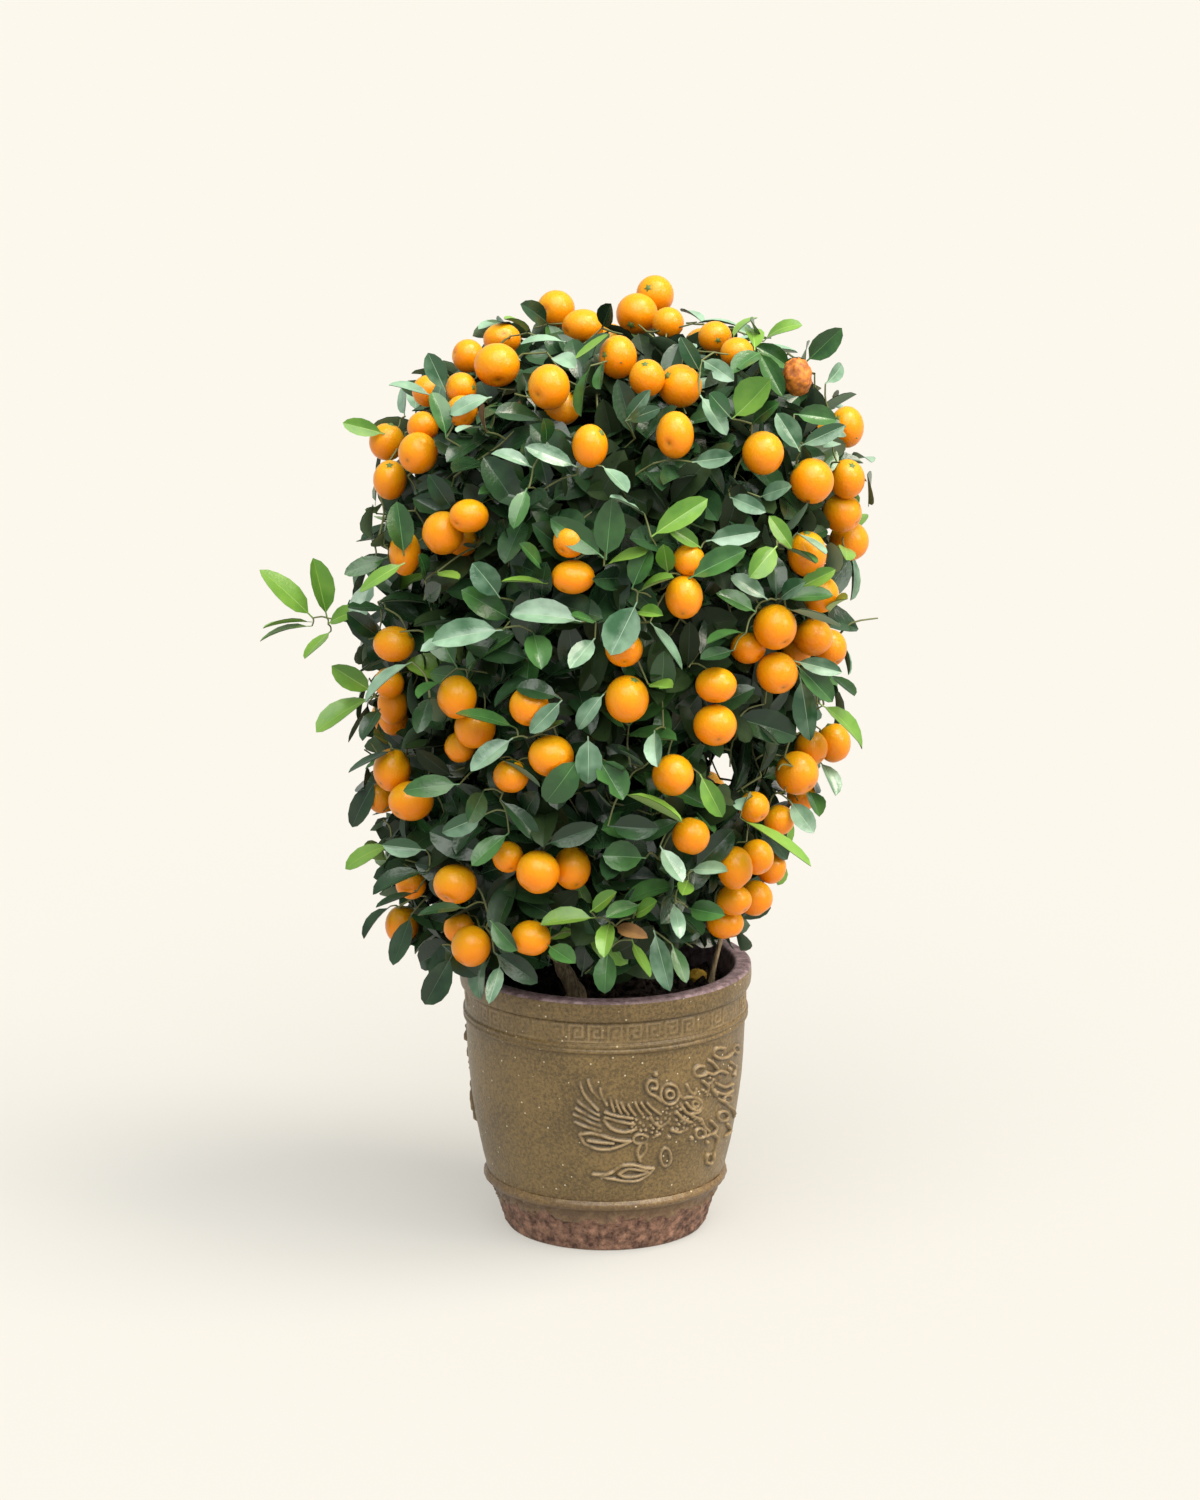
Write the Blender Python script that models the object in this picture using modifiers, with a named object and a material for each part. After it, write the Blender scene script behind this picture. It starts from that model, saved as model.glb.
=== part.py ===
"""A potted four seasons kumquat: a glazed pot, its soil, the stems, the boughs and the leafy crown.

Units are metres and +Z is up. The origin is the middle of the pot's flat underside, and the
front of the plant looks along -Y. The crown is nineteen masses of foliage: three rings of six
and one on top. Each mass is twigs, leaves and fruit grown by one rule from the end of its bough,
and it keeps to its own cell of the crown.
"""

import math
import random

import bmesh
import bpy
from mathutils import Matrix, Vector

# The gap between any two solids
GAP = 0.0003

# The pot: radius and height of each turn of its outer side, from the lip down
POT_HEIGHT = 0.224
LIP_RADIUS = 0.120
LIP_WIDTH = 0.014
LIP_DEPTH = 0.0175
LIP_ROUND = 0.0015
FRIEZE_RADIUS = 0.116
FRIEZE_TOP = 0.205
RIDGE_RADIUS = 0.1178
RIDGE_TOP = 0.187
RIDGE_ROUND = 0.001
RIDGE_BOTTOM = 0.179
BODY_TOP_RADIUS = 0.1148
BODY_TOP = 0.176
BODY_BOTTOM_RADIUS = 0.0977
BODY_BOTTOM = 0.046
BODY_FULLNESS = 1.9
BODY_STEPS = 4
INSIDE_STEPS = 2
FOOT_RIDGE_RADIUS = 0.0935
FOOT_RIDGE_TOP = 0.038
FOOT_RADIUS = 0.0903
FOOT_TOP = 0.027
BASE_RADIUS = 0.082
WALL = 0.011
FLOOR = 0.014
FLOOR_ROUND = 0.004
POT_SEGMENTS = 32

# The soil fills the pot up to this height
SOIL_TOP = 0.200

# The crown: an upright barrel that narrows to its foot, with a domed top
CROWN_FOOT = 0.195
CROWN_WAIST = 0.590
CROWN_TOP = 0.757
CROWN_RADIUS = 0.202
CROWN_FOOT_RADIUS = 0.124
FOOT_CURVE = 2.4
DOME_CURVE = 2.8
AXIS_FOOT = -0.030
AXIS_SLOPE = 0.090
OVERHANG = 1.04
SKIRT = 0.238
SURFACE_STEPS = 60
SURFACE_DRIFT = 0.008

# The foliage keeps off the middle of the crown, which is for limbs, and off the pot's rim
HEART_RADIUS = 0.056
RIM_CLEARANCE = 0.008
LIMB_MARGIN = 0.001

# Three rings of masses: name, height, distance from the crown's axis, first bearing, lift
RINGS = (
    ("low", 0.295, 0.116, 0.0, -0.05),
    ("middle", 0.425, 0.126, 30.0, 0.05),
    ("high", 0.565, 0.126, 0.0, 0.25),
)
TOP_MASS_HEIGHT = 0.680
SIDES = (
    ("right", "back_right", "back_left", "left", "front_left", "front_right"),
    ("right_back", "back", "left_back", "left_front", "front", "right_front"),
)
CELL_MARGIN = 0.0010
CELL_REACH = 0.13
REACH_STEP = 0.004
REACH_LIMIT = 0.2

# The trunk and the thin second stem: the places they pass and their radii
TRUNK_PLACES = (
    (-0.024, -0.030, SOIL_TOP + GAP),
    (-0.024, -0.030, SOIL_TOP + 0.005),
    (-0.030, -0.030, 0.217),
    (-0.037, -0.028, 0.234),
    (-0.031, -0.018, 0.262),
    (-0.024, -0.010, 0.290),
)
TRUNK_RADII = (0.0095, 0.0080, 0.0068, 0.0063, 0.0058, 0.0054)
SIDE_STEM_PLACES = (
    (0.0875, 0.010, SOIL_TOP + GAP),
    (0.0875, 0.010, SOIL_TOP + 0.004),
    (0.0900, 0.010, 0.218),
    (0.0950, 0.010, 0.240),
    (0.0980, 0.009, 0.262),
)
SIDE_STEM_RADII = (0.0034, 0.0027, 0.0023, 0.0020, 0.0018)

# Three leaders rise through the heart: name, bearing, height where each leaves the trunk, top
LEADERS = (
    ("leader_left", 210.0, None, 0.565),
    ("leader_right", 330.0, 0.268, 0.580),
    ("leader_back", 94.0, 0.248, 0.635),
)
LEADER_OFFSET = 0.031
LEADER_BASE_RADIUS = 0.0048
LEADER_TIP_RADIUS = 0.0028
LEADER_STEPS = 6
LEADER_SETTLING = 2.5
LEADER_FIRST_RUN = 0.012
FORK_RUN = 0.016
FORK_RISE = 1.1

# Boughs run from a leader to the inner side of a mass
BOUGH_REACH = 0.078
BOUGH_BASE_RADIUS = 0.0030
BOUGH_SHARE = 0.8
BOUGH_TIP_RADIUS = 0.0019
BOUGH_TIP_DROP = 0.012
BOUGH_DROP = 0.034
BOUGH_SAG = 0.004
BOUGH_SPACING = 0.018
BOUGH_STEPS = 2
LEADER_BIAS = 12.0

# The stem of each mass and the twigs that leave it
STEM_BASE_RADIUS = 0.0018
STEM_TIP_RADIUS = 0.0012
STEM_ROOT_RUN = 0.006
STEM_RUN = 0.012
TWIG_BASE_RADIUS = 0.0014
TWIG_TIP_RADIUS = 0.0009
TWIG_LAP = 0.003
TWIG_TESTS = 8
TWIG_UP = Vector((0.3, 0.5, 0.8))

# The shoots, which reach evenly over the crown, and their leaves
SHOOTS = 84
SHOOT_SEED = 7
SHOOT_INSET = 0.60
LEAVES_PER_SHOOT = 3
LEAF_SPACING = 0.007
LEAF_LENGTH = 0.060
LEAF_WIDTH = 0.029
LEAF_THICKNESS = 0.0016
LEAF_SINK = 0.0022
LEAF_SLACK = 0.0008
LEAF_ARCH = 0.05
LEAF_MIDDLE = 0.45
LEAF_BACKSET = 0.03
LEAF_NECK = 0.006
LEAF_VARIATION = 0.06
LEAF_SPREADS = (24.0, 56.0, 64.0)
STRAY_SPREADS = (8.0, 42.0, 46.0, 60.0)
SPREAD_VARIATION = 6.0
LEAF_ATTEMPTS = 6
LEAF_SHRINK = 0.95
LEAF_SIDE = Vector((0.37, 0.61, 0.70))

# The dense middle of each mass
CORE_SHARE = 0.93
CORE_SKIN = 0.027
CORE_LEAST = 0.008
CORE_STEM_SHARE = 0.5
CORE_STEM_TURN = 0.3
CORE_OUTSIDE_LEVEL = 0.9

# The fruit
FRUIT_RADIUS = 0.0172
FRUIT_SEGMENTS = 6
FRUIT_RINGS = 4
FRUIT_LIMIT = 3
FRUIT_NEAREST = 1.3
FRUIT_UP = Vector((0.1, 0.3, 1.0))
STALK_RADIUS = 0.0012
FRONT = Vector((0.0, -0.93, 0.37))
GOLDEN_TURN = math.pi * (3.0 - math.sqrt(5.0))

# The fruit as the front of the crown shows it, in millimetres on the upright plane through the
# pot's middle: across, up, how many hang together, and the slope of the first two in degrees
FRONT_FRUIT = (
    (39, 765, 3, 50), (-29, 760, 2, -30), (20, 719, 2, -40), (59, 684, 2, 80), (-11, 656, 1, 0),
    (-39, 696, 2, 20), (-92, 732, 3, 10), (-132, 693, 3, 30), (-167, 645, 3, 70), (100, 737, 2, -40),
    (154, 710, 1, 0), (193, 671, 1, 0), (127, 649, 1, 0), (186, 607, 4, -60), (-120, 591, 2, 40),
    (-160, 569, 1, 0), (-26, 561, 2, 20), (65, 546, 2, 0), (171, 553, 2, 30), (149, 489, 5, 0),
    (15, 488, 1, 0), (17, 445, 1, 0), (90, 440, 2, 90), (56, 382, 1, 0), (-113, 435, 2, -60),
    (-61, 407, 3, 60), (-170, 491, 1, 0), (-173, 435, 2, 70), (-165, 371, 2, -50),
    (169, 393, 4, 60), (124, 359, 1, 0), (71, 330, 1, 0), (-40, 301, 2, 0), (-123, 289, 1, 0),
    (-113, 241, 2, 30), (-60, 244, 1, 0), (-169, 254, 1, 0), (116, 288, 6, 50), (142, 344, 1, 0),
)
MILLIMETRE = 0.001
FRUIT_LEVEL = 0.93
BACK_LIFT = 0.012
BACK_SPACING = 3.6

# The place that the front is seen from, and the steps of a search along a line of sight
VIEWPOINT = Vector((0.0, -4.317, 1.495))
SIGHT_START = 0.23
SIGHT_STEP = 0.004
SIGHT_STEPS = 90

# A bunch of fruit, in steps of one fruit: along its slope, across it, and toward the viewpoint
FRUIT_PACKING = 1.06
BUNCH = (
    (1.0, 0.0, 0.0), (-1.0, 0.0, 0.0), (0.0, 1.6, -0.5),
    (0.0, -1.6, -0.5), (1.6, 1.6, -1.2), (-1.6, -1.6, -1.0),
)

# Shoots that stray out of the crown: root across and up, tip across and up, leaves
STRAY_SHOOTS = (
    (-167, 488, -282, 512, 4), (-170, 650, -209, 668, 2), (-180, 445, -239, 430, 2),
    (-170, 362, -213, 344, 2), (-168, 322, -217, 314, 2), (-155, 265, -203, 250, 2),
    (-132, 232, -145, 190, 1), (172, 443, 222, 417, 2), (165, 395, 192, 377, 1),
    (145, 330, 170, 310, 1), (152, 700, 190, 749, 1), (118, 722, 146, 762, 1),
)
STRAY_LEAST = 0.004
STRAY_LEAF_SHARE = 0.95


class Limb:
    """A tapering limb along a line of places, with a radius at each."""

    def __init__(self, name, places, radii):
        self.name = name
        self.places = [Vector(place) for place in places]
        self.radii = list(radii)

    def at_height(self, height):
        """The place on the limb's middle line at a height."""
        for low, high in zip(self.places, self.places[1:]):
            if low.z <= height <= high.z:
                return low.lerp(high, (height - low.z) / (high.z - low.z))
        return self.places[-1].copy()

    def radius_at(self, height):
        """The limb's radius at a height."""
        spans = zip(self.places, self.places[1:], self.radii, self.radii[1:])
        for low, high, low_radius, high_radius in spans:
            if low.z <= height <= high.z:
                return low_radius + (high_radius - low_radius) * (height - low.z) / (high.z - low.z)
        return self.radii[-1]

    def end_direction(self):
        """The direction in which the limb's tip points."""
        return (self.places[-1] - self.places[-2]).normalized()

    def clearance(self, point):
        """The distance from a point to the limb's bark."""
        nearest = math.inf
        spans = zip(self.places, self.places[1:], self.radii, self.radii[1:])
        for low, high, low_radius, high_radius in spans:
            run = high - low
            share = max(0.0, min(1.0, (point - low).dot(run) / run.length_squared))
            radius = low_radius + (high_radius - low_radius) * share
            nearest = min(nearest, (point - low - run * share).length - radius)
        return nearest


class Mass:
    """One mass of foliage: the middle of its cell, the way it faces and the limb that carries it."""

    def __init__(self, name, centre, outward):
        self.name = name
        self.centre = centre
        self.outward = outward.normalized()
        self.carrier = None


def heading(bearing):
    """A level unit vector: 0 degrees is +X and 90 degrees is +Y."""
    turn = math.radians(bearing)
    return Vector((math.cos(turn), math.sin(turn), 0.0))


def crown_axis(height):
    """The crown's middle line, which leans a little from the left of the pot to the right."""
    return Vector((AXIS_FOOT + AXIS_SLOPE * (height - CROWN_FOOT), 0.0, height))


def crown_radius(height):
    """The crown's radius at a height: a barrel that narrows downward, under a round dome."""
    if height > CROWN_WAIST:
        rise = (height - CROWN_WAIST) / (CROWN_TOP - CROWN_WAIST)
        return CROWN_RADIUS * max(0.0, 1.0 - rise**DOME_CURVE) ** (1.0 / DOME_CURVE)
    fall = min(1.0, (CROWN_WAIST - height) / (CROWN_WAIST - CROWN_FOOT))
    return CROWN_RADIUS - (CROWN_RADIUS - CROWN_FOOT_RADIUS) * fall**FOOT_CURVE


def crown_level(point):
    """How far out a point lies in the crown: 1 is the crown's outer surface."""
    spread = (point - crown_axis(point.z)).length
    if point.z <= CROWN_WAIST:
        return spread / crown_radius(point.z)
    rise = (point.z - CROWN_WAIST) / (CROWN_TOP - CROWN_WAIST)
    return (rise**DOME_CURVE + (spread / CROWN_RADIUS) ** DOME_CURVE) ** (1.0 / DOME_CURVE)


def surface_places(count, dice):
    """Places spread evenly over the crown's outer surface, each turned on by the golden angle."""
    step = (CROWN_TOP - SKIRT) / SURFACE_STEPS
    heights = [SKIRT + step * index for index in range(SURFACE_STEPS + 1)]
    areas = [0.0]
    for low, high in zip(heights, heights[1:]):
        slope = math.hypot(step, crown_radius(high) - crown_radius(low))
        areas.append(areas[-1] + slope * (crown_radius(low) + crown_radius(high)))
    places = []
    for index in range(count):
        wanted = areas[-1] * (index + 0.5) / count
        band = max(position for position, area in enumerate(areas) if area <= wanted)
        height = heights[band] + step * (wanted - areas[band]) / (areas[band + 1] - areas[band])
        height += dice.uniform(-SURFACE_DRIFT, SURFACE_DRIFT)
        height = min(max(height, SKIRT), CROWN_TOP - MILLIMETRE)
        out = heading(math.degrees(index * GOLDEN_TURN))
        places.append(crown_axis(height) + out * crown_radius(height))
    return places


def smooth_line(places, steps):
    """Places along a smooth curve through the given ones."""
    line = []
    count = len(places)
    for index in range(count - 1):
        before = places[max(index - 1, 0)]
        start, end = places[index], places[index + 1]
        after = places[min(index + 2, count - 1)]
        for step in range(steps):
            share = step / steps
            pull = (end - before) * share + (before * 2 - start * 5 + end * 4 - after) * share**2
            pull += (start * 3 - before - end * 3 + after) * share**3
            line.append(start + pull * 0.5)
    line.append(places[-1].copy())
    return line


def taper(base_radius, tip_radius, count):
    """The radii of a limb that narrows evenly from its base to its tip."""
    return [base_radius + (tip_radius - base_radius) * index / (count - 1) for index in range(count)]


def make_masses():
    """The nineteen masses of the crown, each round the middle of its own cell."""
    masses = []
    for ring, (level, height, distance, first, lift) in enumerate(RINGS):
        for index, side in enumerate(SIDES[ring % 2]):
            outward = heading(first + 60.0 * index)
            centre = crown_axis(height) + outward * distance
            masses.append(Mass(f"{level}_{side}", centre, outward + Vector((0.0, 0.0, lift))))
    masses.append(Mass("top", crown_axis(TOP_MASS_HEIGHT), Vector((0.0, 0.0, 1.0))))
    return masses


def make_leaders(trunk):
    """The three leaders: one goes on from the trunk's tip, and two leave its side."""
    leaders = []
    for name, bearing, leaving, top in LEADERS:
        if leaving is None:
            start = trunk.places[-1] + trunk.end_direction() * GAP
            first = start + trunk.end_direction() * LEADER_FIRST_RUN
        else:
            start = trunk.at_height(leaving)
            first = start + (heading(bearing) + Vector((0.0, 0.0, FORK_RISE))) * FORK_RUN
        span = top - first.z
        places = [start, first]
        for step in range(1, LEADER_STEPS + 1):
            height = first.z + span * step / LEADER_STEPS
            rest = crown_axis(height) + heading(bearing) * LEADER_OFFSET
            settled = min(1.0, step / LEADER_SETTLING)
            drift = Vector((first.x, first.y, height))
            places.append(drift.lerp(rest, settled))
        leaders.append(Limb(name, places, taper(LEADER_BASE_RADIUS, LEADER_TIP_RADIUS, len(places))))
    return leaders


def make_boughs(masses, leaders, side_stem):
    """One bough for each mass, from the nearest leader; two masses sit on limbs' own tips."""
    boughs = []
    used = {}
    for mass in masses:
        if mass.name == "low_right":
            mass.carrier = side_stem
            continue
        if mass.name == "top":
            mass.carrier = leaders[2]
            continue
        bearing = math.degrees(math.atan2(mass.outward.y, mass.outward.x))
        gaps = [abs((bearing - entry[1] - LEADER_BIAS + 180.0) % 360.0 - 180.0) for entry in LEADERS]
        leader = leaders[gaps.index(min(gaps))]
        ring = mass.name.split("_")[0]
        turn = used.get((leader.name, ring), 0)
        used[(leader.name, ring)] = turn + 1
        level = Vector((mass.outward.x, mass.outward.y, 0.0)).normalized()
        tip = crown_axis(mass.centre.z - BOUGH_TIP_DROP) + level * BOUGH_REACH
        lowest = max(tip.z - BOUGH_DROP, leader.places[1].z + BOUGH_SPACING * 0.5)
        height = lowest + BOUGH_SPACING * turn
        start = leader.at_height(height)
        base_radius = min(BOUGH_BASE_RADIUS, leader.radius_at(height) * BOUGH_SHARE)
        bend = start.lerp(tip, 0.5) - Vector((0.0, 0.0, BOUGH_SAG))
        places = smooth_line([start, bend, tip], BOUGH_STEPS)
        radii = taper(base_radius, BOUGH_TIP_RADIUS, len(places))
        bough = Limb(f"bough_{mass.name}", places, radii)
        mass.carrier = bough
        boughs.append((bough, leader))
    return boughs


def linear(hex_colour):
    """An sRGB hex colour as linear red, green, blue and alpha."""
    shades = [int(hex_colour[index:index + 2], 16) / 255.0 for index in (1, 3, 5)]
    light = [s / 12.92 if s <= 0.04045 else ((s + 0.055) / 1.055) ** 2.4 for s in shades]
    return (*light, 1.0)


def make_material(name, hex_colour, roughness):
    """A plain Principled material."""
    material = bpy.data.materials.new(name)
    material.use_nodes = True
    shader = material.node_tree.nodes["Principled BSDF"]
    shader.inputs["Base Color"].default_value = linear(hex_colour)
    shader.inputs["Roughness"].default_value = roughness
    shader.inputs["Metallic"].default_value = 0.0
    return material


def clear_scene():
    """Remove every object that the file opened with."""
    for item in list(bpy.data.objects):
        bpy.data.objects.remove(item, do_unlink=True)


def new_collection(name):
    """A collection linked under the scene's own."""
    collection = bpy.data.collections.new(name)
    bpy.context.scene.collection.children.link(collection)
    return collection


def place_mesh(name, mesh, collection, material=None):
    """Put a mesh into a collection as a named object."""
    item = bpy.data.objects.new(name, mesh)
    collection.objects.link(item)
    if material is not None:
        mesh.materials.clear()
        mesh.materials.append(material)
    return item


def turned(name, profile, segments, collection, material):
    """A solid turned about the Z axis from a profile that runs down its outer side."""
    mesh = bpy.data.meshes.new(name)
    shape = bmesh.new()
    points = [shape.verts.new((radius, 0.0, height)) for radius, height in profile]
    for start, end in zip(points, points[1:]):
        shape.edges.new((start, end))
    shape.to_mesh(mesh)
    shape.free()
    item = place_mesh(name, mesh, collection, material)
    screw = item.modifiers.new("turn", "SCREW")
    screw.axis = "Z"
    screw.angle = 2.0 * math.pi
    screw.steps = segments
    screw.render_steps = segments
    screw.use_merge_vertices = True
    screw.merge_threshold = 0.00001
    screw.use_smooth_shade = True
    return item


def tube(name, places, radii, resolution, collection, material):
    """A closed tube along a line, made as a bevelled curve and turned into a mesh."""
    curve = bpy.data.curves.new(name, "CURVE")
    curve.dimensions = "3D"
    curve.bevel_depth = 1.0
    curve.bevel_resolution = resolution
    curve.use_fill_caps = True
    spline = curve.splines.new("POLY")
    spline.points.add(len(places) - 1)
    for point, place, radius in zip(spline.points, places, radii):
        point.co = (*place, 1.0)
        point.radius = radius
    guide = bpy.data.objects.new(name + "_line", curve)
    collection.objects.link(guide)
    view = bpy.context.evaluated_depsgraph_get()
    mesh = bpy.data.meshes.new_from_object(guide.evaluated_get(view))
    bpy.data.objects.remove(guide, do_unlink=True)
    shape = bmesh.new()
    shape.from_mesh(mesh)
    bmesh.ops.remove_doubles(shape, verts=shape.verts, dist=0.000001)
    bmesh.ops.recalc_face_normals(shape, faces=shape.faces)
    shape.to_mesh(mesh)
    shape.free()
    mesh.name = name
    return place_mesh(name, mesh, collection, material)


def outer_wall(height):
    """The radius of the pot's body at a height."""
    share = (BODY_TOP - height) / (BODY_TOP - BODY_BOTTOM)
    return BODY_TOP_RADIUS - (BODY_TOP_RADIUS - BODY_BOTTOM_RADIUS) * share**BODY_FULLNESS


def body_heights(steps):
    """The heights of the body's turns, from its top to its bottom."""
    return [BODY_TOP + (BODY_BOTTOM - BODY_TOP) * step / steps for step in range(steps + 1)]


def inner_profile(clear):
    """The pot's inner side from the lip down, or the soil's side when set in by a clearance."""
    side = [(LIP_RADIUS - LIP_WIDTH - clear, POT_HEIGHT)]
    side += [(outer_wall(height) - WALL - clear, height) for height in body_heights(INSIDE_STEPS)]
    side.append((BASE_RADIUS - WALL + FLOOR_ROUND - clear, FLOOR + clear))
    side.append((0.0, FLOOR + clear))
    return side


def make_pot(collection, material):
    """The pot, turned as one piece with its lip, frieze band, ridge, body and foot."""
    outside = [
        (LIP_RADIUS - LIP_ROUND, POT_HEIGHT),
        (LIP_RADIUS, POT_HEIGHT - LIP_ROUND),
        (LIP_RADIUS, POT_HEIGHT - LIP_DEPTH),
        (FRIEZE_RADIUS, FRIEZE_TOP),
        (FRIEZE_RADIUS, RIDGE_TOP),
        (RIDGE_RADIUS, RIDGE_TOP - RIDGE_ROUND),
        (RIDGE_RADIUS, RIDGE_BOTTOM),
    ]
    outside += [(outer_wall(height), height) for height in body_heights(BODY_STEPS)]
    outside += [
        (FOOT_RIDGE_RADIUS, FOOT_RIDGE_TOP),
        (FOOT_RADIUS, FOOT_TOP),
        (BASE_RADIUS, 0.0),
        (0.0, 0.0),
    ]
    profile = list(reversed(inner_profile(0.0))) + outside
    return turned("pot", profile, POT_SEGMENTS, collection, material)


def make_soil(collection, material):
    """The soil: a flat-topped plug that follows the pot's inner side."""
    below = [point for point in inner_profile(GAP) if point[1] < SOIL_TOP]
    share = (SOIL_TOP - BODY_TOP) / (POT_HEIGHT - BODY_TOP)
    body_radius = outer_wall(BODY_TOP) - WALL - GAP
    edge = body_radius + (LIP_RADIUS - LIP_WIDTH - GAP - body_radius) * share
    profile = [(0.0, SOIL_TOP), (edge, SOIL_TOP)] + below
    return turned("soil", profile, POT_SEGMENTS, collection, material)


def keep_outer_body(mesh):
    """Fill sealed hollows and drop loose scraps: only the body of largest volume stays."""
    shape = bmesh.new()
    shape.from_mesh(mesh)
    waiting = set(shape.faces)
    bodies = []
    while waiting:
        body = set()
        front = [waiting.pop()]
        while front:
            face = front.pop()
            body.add(face)
            for edge in face.edges:
                for other in edge.link_faces:
                    if other in waiting:
                        waiting.remove(other)
                        front.append(other)
        bodies.append(body)
    volumes = []
    for body in bodies:
        volume = 0.0
        for face in body:
            corners = [vertex.co for vertex in face.verts]
            for second, third in zip(corners[1:], corners[2:]):
                volume += corners[0].dot(second.cross(third)) / 6.0
        volumes.append(volume)
    keep = bodies[volumes.index(max(volumes))]
    loose = [face for face in shape.faces if face not in keep]
    bmesh.ops.delete(shape, geom=loose, context="FACES")
    shape.to_mesh(mesh)
    shape.free()
    return len(bodies) - 1


def fuse(name, pieces, collection, material):
    """Join a collection of overlapping pieces into one body by one Boolean union."""
    first = pieces.objects[0]
    pieces.objects.unlink(first)
    collection.objects.link(first)
    union = first.modifiers.new("fuse", "BOOLEAN")
    union.operation = "UNION"
    union.operand_type = "COLLECTION"
    union.collection = pieces
    union.solver = "EXACT"
    view = bpy.context.evaluated_depsgraph_get()
    mesh = bpy.data.meshes.new_from_object(first.evaluated_get(view))
    for piece in [first] + list(pieces.objects):
        bpy.data.objects.remove(piece, do_unlink=True)
    bpy.data.collections.remove(pieces)
    mesh.name = name
    keep_outer_body(mesh)
    return place_mesh(name, mesh, collection, material)


def cut_clear(item, carrier, cutters):
    """Cut a limb clear of the one that carries it, by the running gap."""
    radii = [radius + GAP for radius in carrier.radii]
    cutter = tube(f"clear_{item.name}", carrier.places, radii, 2, cutters, None)
    cutter.hide_render = True
    cutter.display_type = "WIRE"
    notch = item.modifiers.new("seat", "BOOLEAN")
    notch.operation = "DIFFERENCE"
    notch.object = cutter
    notch.solver = "EXACT"


class Crown:
    """The masses and limbs together, which say what space each mass may fill."""

    def __init__(self, masses, limbs):
        self.masses = masses
        self.near_limbs = {
            mass.name: [limb for limb in limbs if limb.clearance(mass.centre) < CELL_REACH]
            for mass in masses
        }

    def owner(self, point):
        """The mass whose cell holds a point."""
        return min(self.masses, key=lambda mass: (mass.centre - point).length_squared)

    def border(self, mass, point):
        """The distance from a point to the nearest side of the mass's cell."""
        nearest = math.inf
        for other in self.masses:
            if other is not mass:
                across = other.centre - mass.centre
                middle = (other.centre + mass.centre) * 0.5
                nearest = min(nearest, (middle - point).dot(across) / across.length)
        return nearest

    def settled(self, mass, point, radius):
        """Move a point inward from the sides of its cell until a ball there fits the cell."""
        place = point.copy()
        for _ in range(8):
            for other in self.masses:
                if other is not mass:
                    across = (other.centre - mass.centre).normalized()
                    middle = (other.centre + mass.centre) * 0.5
                    short = radius + CELL_MARGIN + GAP - (middle - place).dot(across)
                    if short > 0.0:
                        place -= across * short
        return place

    def clear(self, mass, point, slack=0.0, stray=False):
        """Whether a point, with some slack round it, lies in the mass's own space."""
        if self.border(mass, point) < CELL_MARGIN + slack:
            return False
        if not stray and crown_level(point) > OVERHANG:
            return False
        over_pot = math.hypot(point.x, point.y) < LIP_RADIUS + RIM_CLEARANCE + slack
        lowest = POT_HEIGHT + RIM_CLEARANCE + slack if over_pot else CROWN_FOOT
        if point.z < lowest:
            return False
        if mass.name != "top" and (point - crown_axis(point.z)).length < HEART_RADIUS:
            return False
        return all(limb.clearance(point) > slack + LIMB_MARGIN for limb in self.near_limbs[mass.name])

    def twig_clear(self, mass, start, end, stray=False):
        """Whether a straight twig stays in the mass's own space."""
        shares = [step / TWIG_TESTS for step in range(1, TWIG_TESTS + 1)]
        return all(self.clear(mass, start.lerp(end, share), TWIG_BASE_RADIUS, stray) for share in shares)

    def reach(self, mass, direction):
        """How far the mass's space goes from its middle in a direction."""
        length = REACH_STEP
        while length < REACH_LIMIT and self.clear(mass, mass.centre + direction * length):
            length += REACH_STEP
        return length - REACH_STEP


def add_shape(pieces, name, build, matrix):
    """Make a primitive in a new mesh and add it to the pieces of a mass."""
    shape = bmesh.new()
    build(shape)
    bmesh.ops.transform(shape, matrix=matrix, verts=shape.verts)
    bmesh.ops.recalc_face_normals(shape, faces=shape.faces)
    mesh = bpy.data.meshes.new(name)
    shape.to_mesh(mesh)
    shape.free()
    return place_mesh(name, mesh, pieces)


def frame_of(place, along, up):
    """A matrix that sets +Z along one direction and +Y near another."""
    z_axis = along.normalized()
    x_axis = up.cross(z_axis)
    if x_axis.length < 1e-4:
        x_axis = Vector((1.0, 0.0, 0.0)).cross(z_axis)
    x_axis.normalize()
    y_axis = z_axis.cross(x_axis)
    turn = Matrix((x_axis, y_axis, z_axis)).transposed()
    return Matrix.Translation(place) @ turn.to_4x4()


def add_twig(pieces, start, end, base_radius, tip_radius):
    """A straight three-sided twig."""
    along = end - start

    def build(shape):
        bmesh.ops.create_cone(
            shape, cap_ends=True, segments=3, radius1=base_radius, radius2=tip_radius, depth=along.length
        )

    add_shape(pieces, "twig", build, frame_of(start.lerp(end, 0.5), along, TWIG_UP))


def leaf_points(root, along, up, length):
    """The ends, sides and middle of a leaf, to test against the space it may fill."""
    side = along.cross(up).normalized() * (LEAF_WIDTH * 0.5 * length / LEAF_LENGTH)
    lift = up * (LEAF_ARCH * length)
    middle = root + along * (length * LEAF_MIDDLE) + lift
    tip = root + along * length
    return [
        root + along * LEAF_NECK,
        middle,
        middle + side,
        middle - side,
        tip,
        middle.lerp(tip, 0.5),
        (middle + side).lerp(tip, 0.5),
        (middle - side).lerp(tip, 0.5),
    ]


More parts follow.
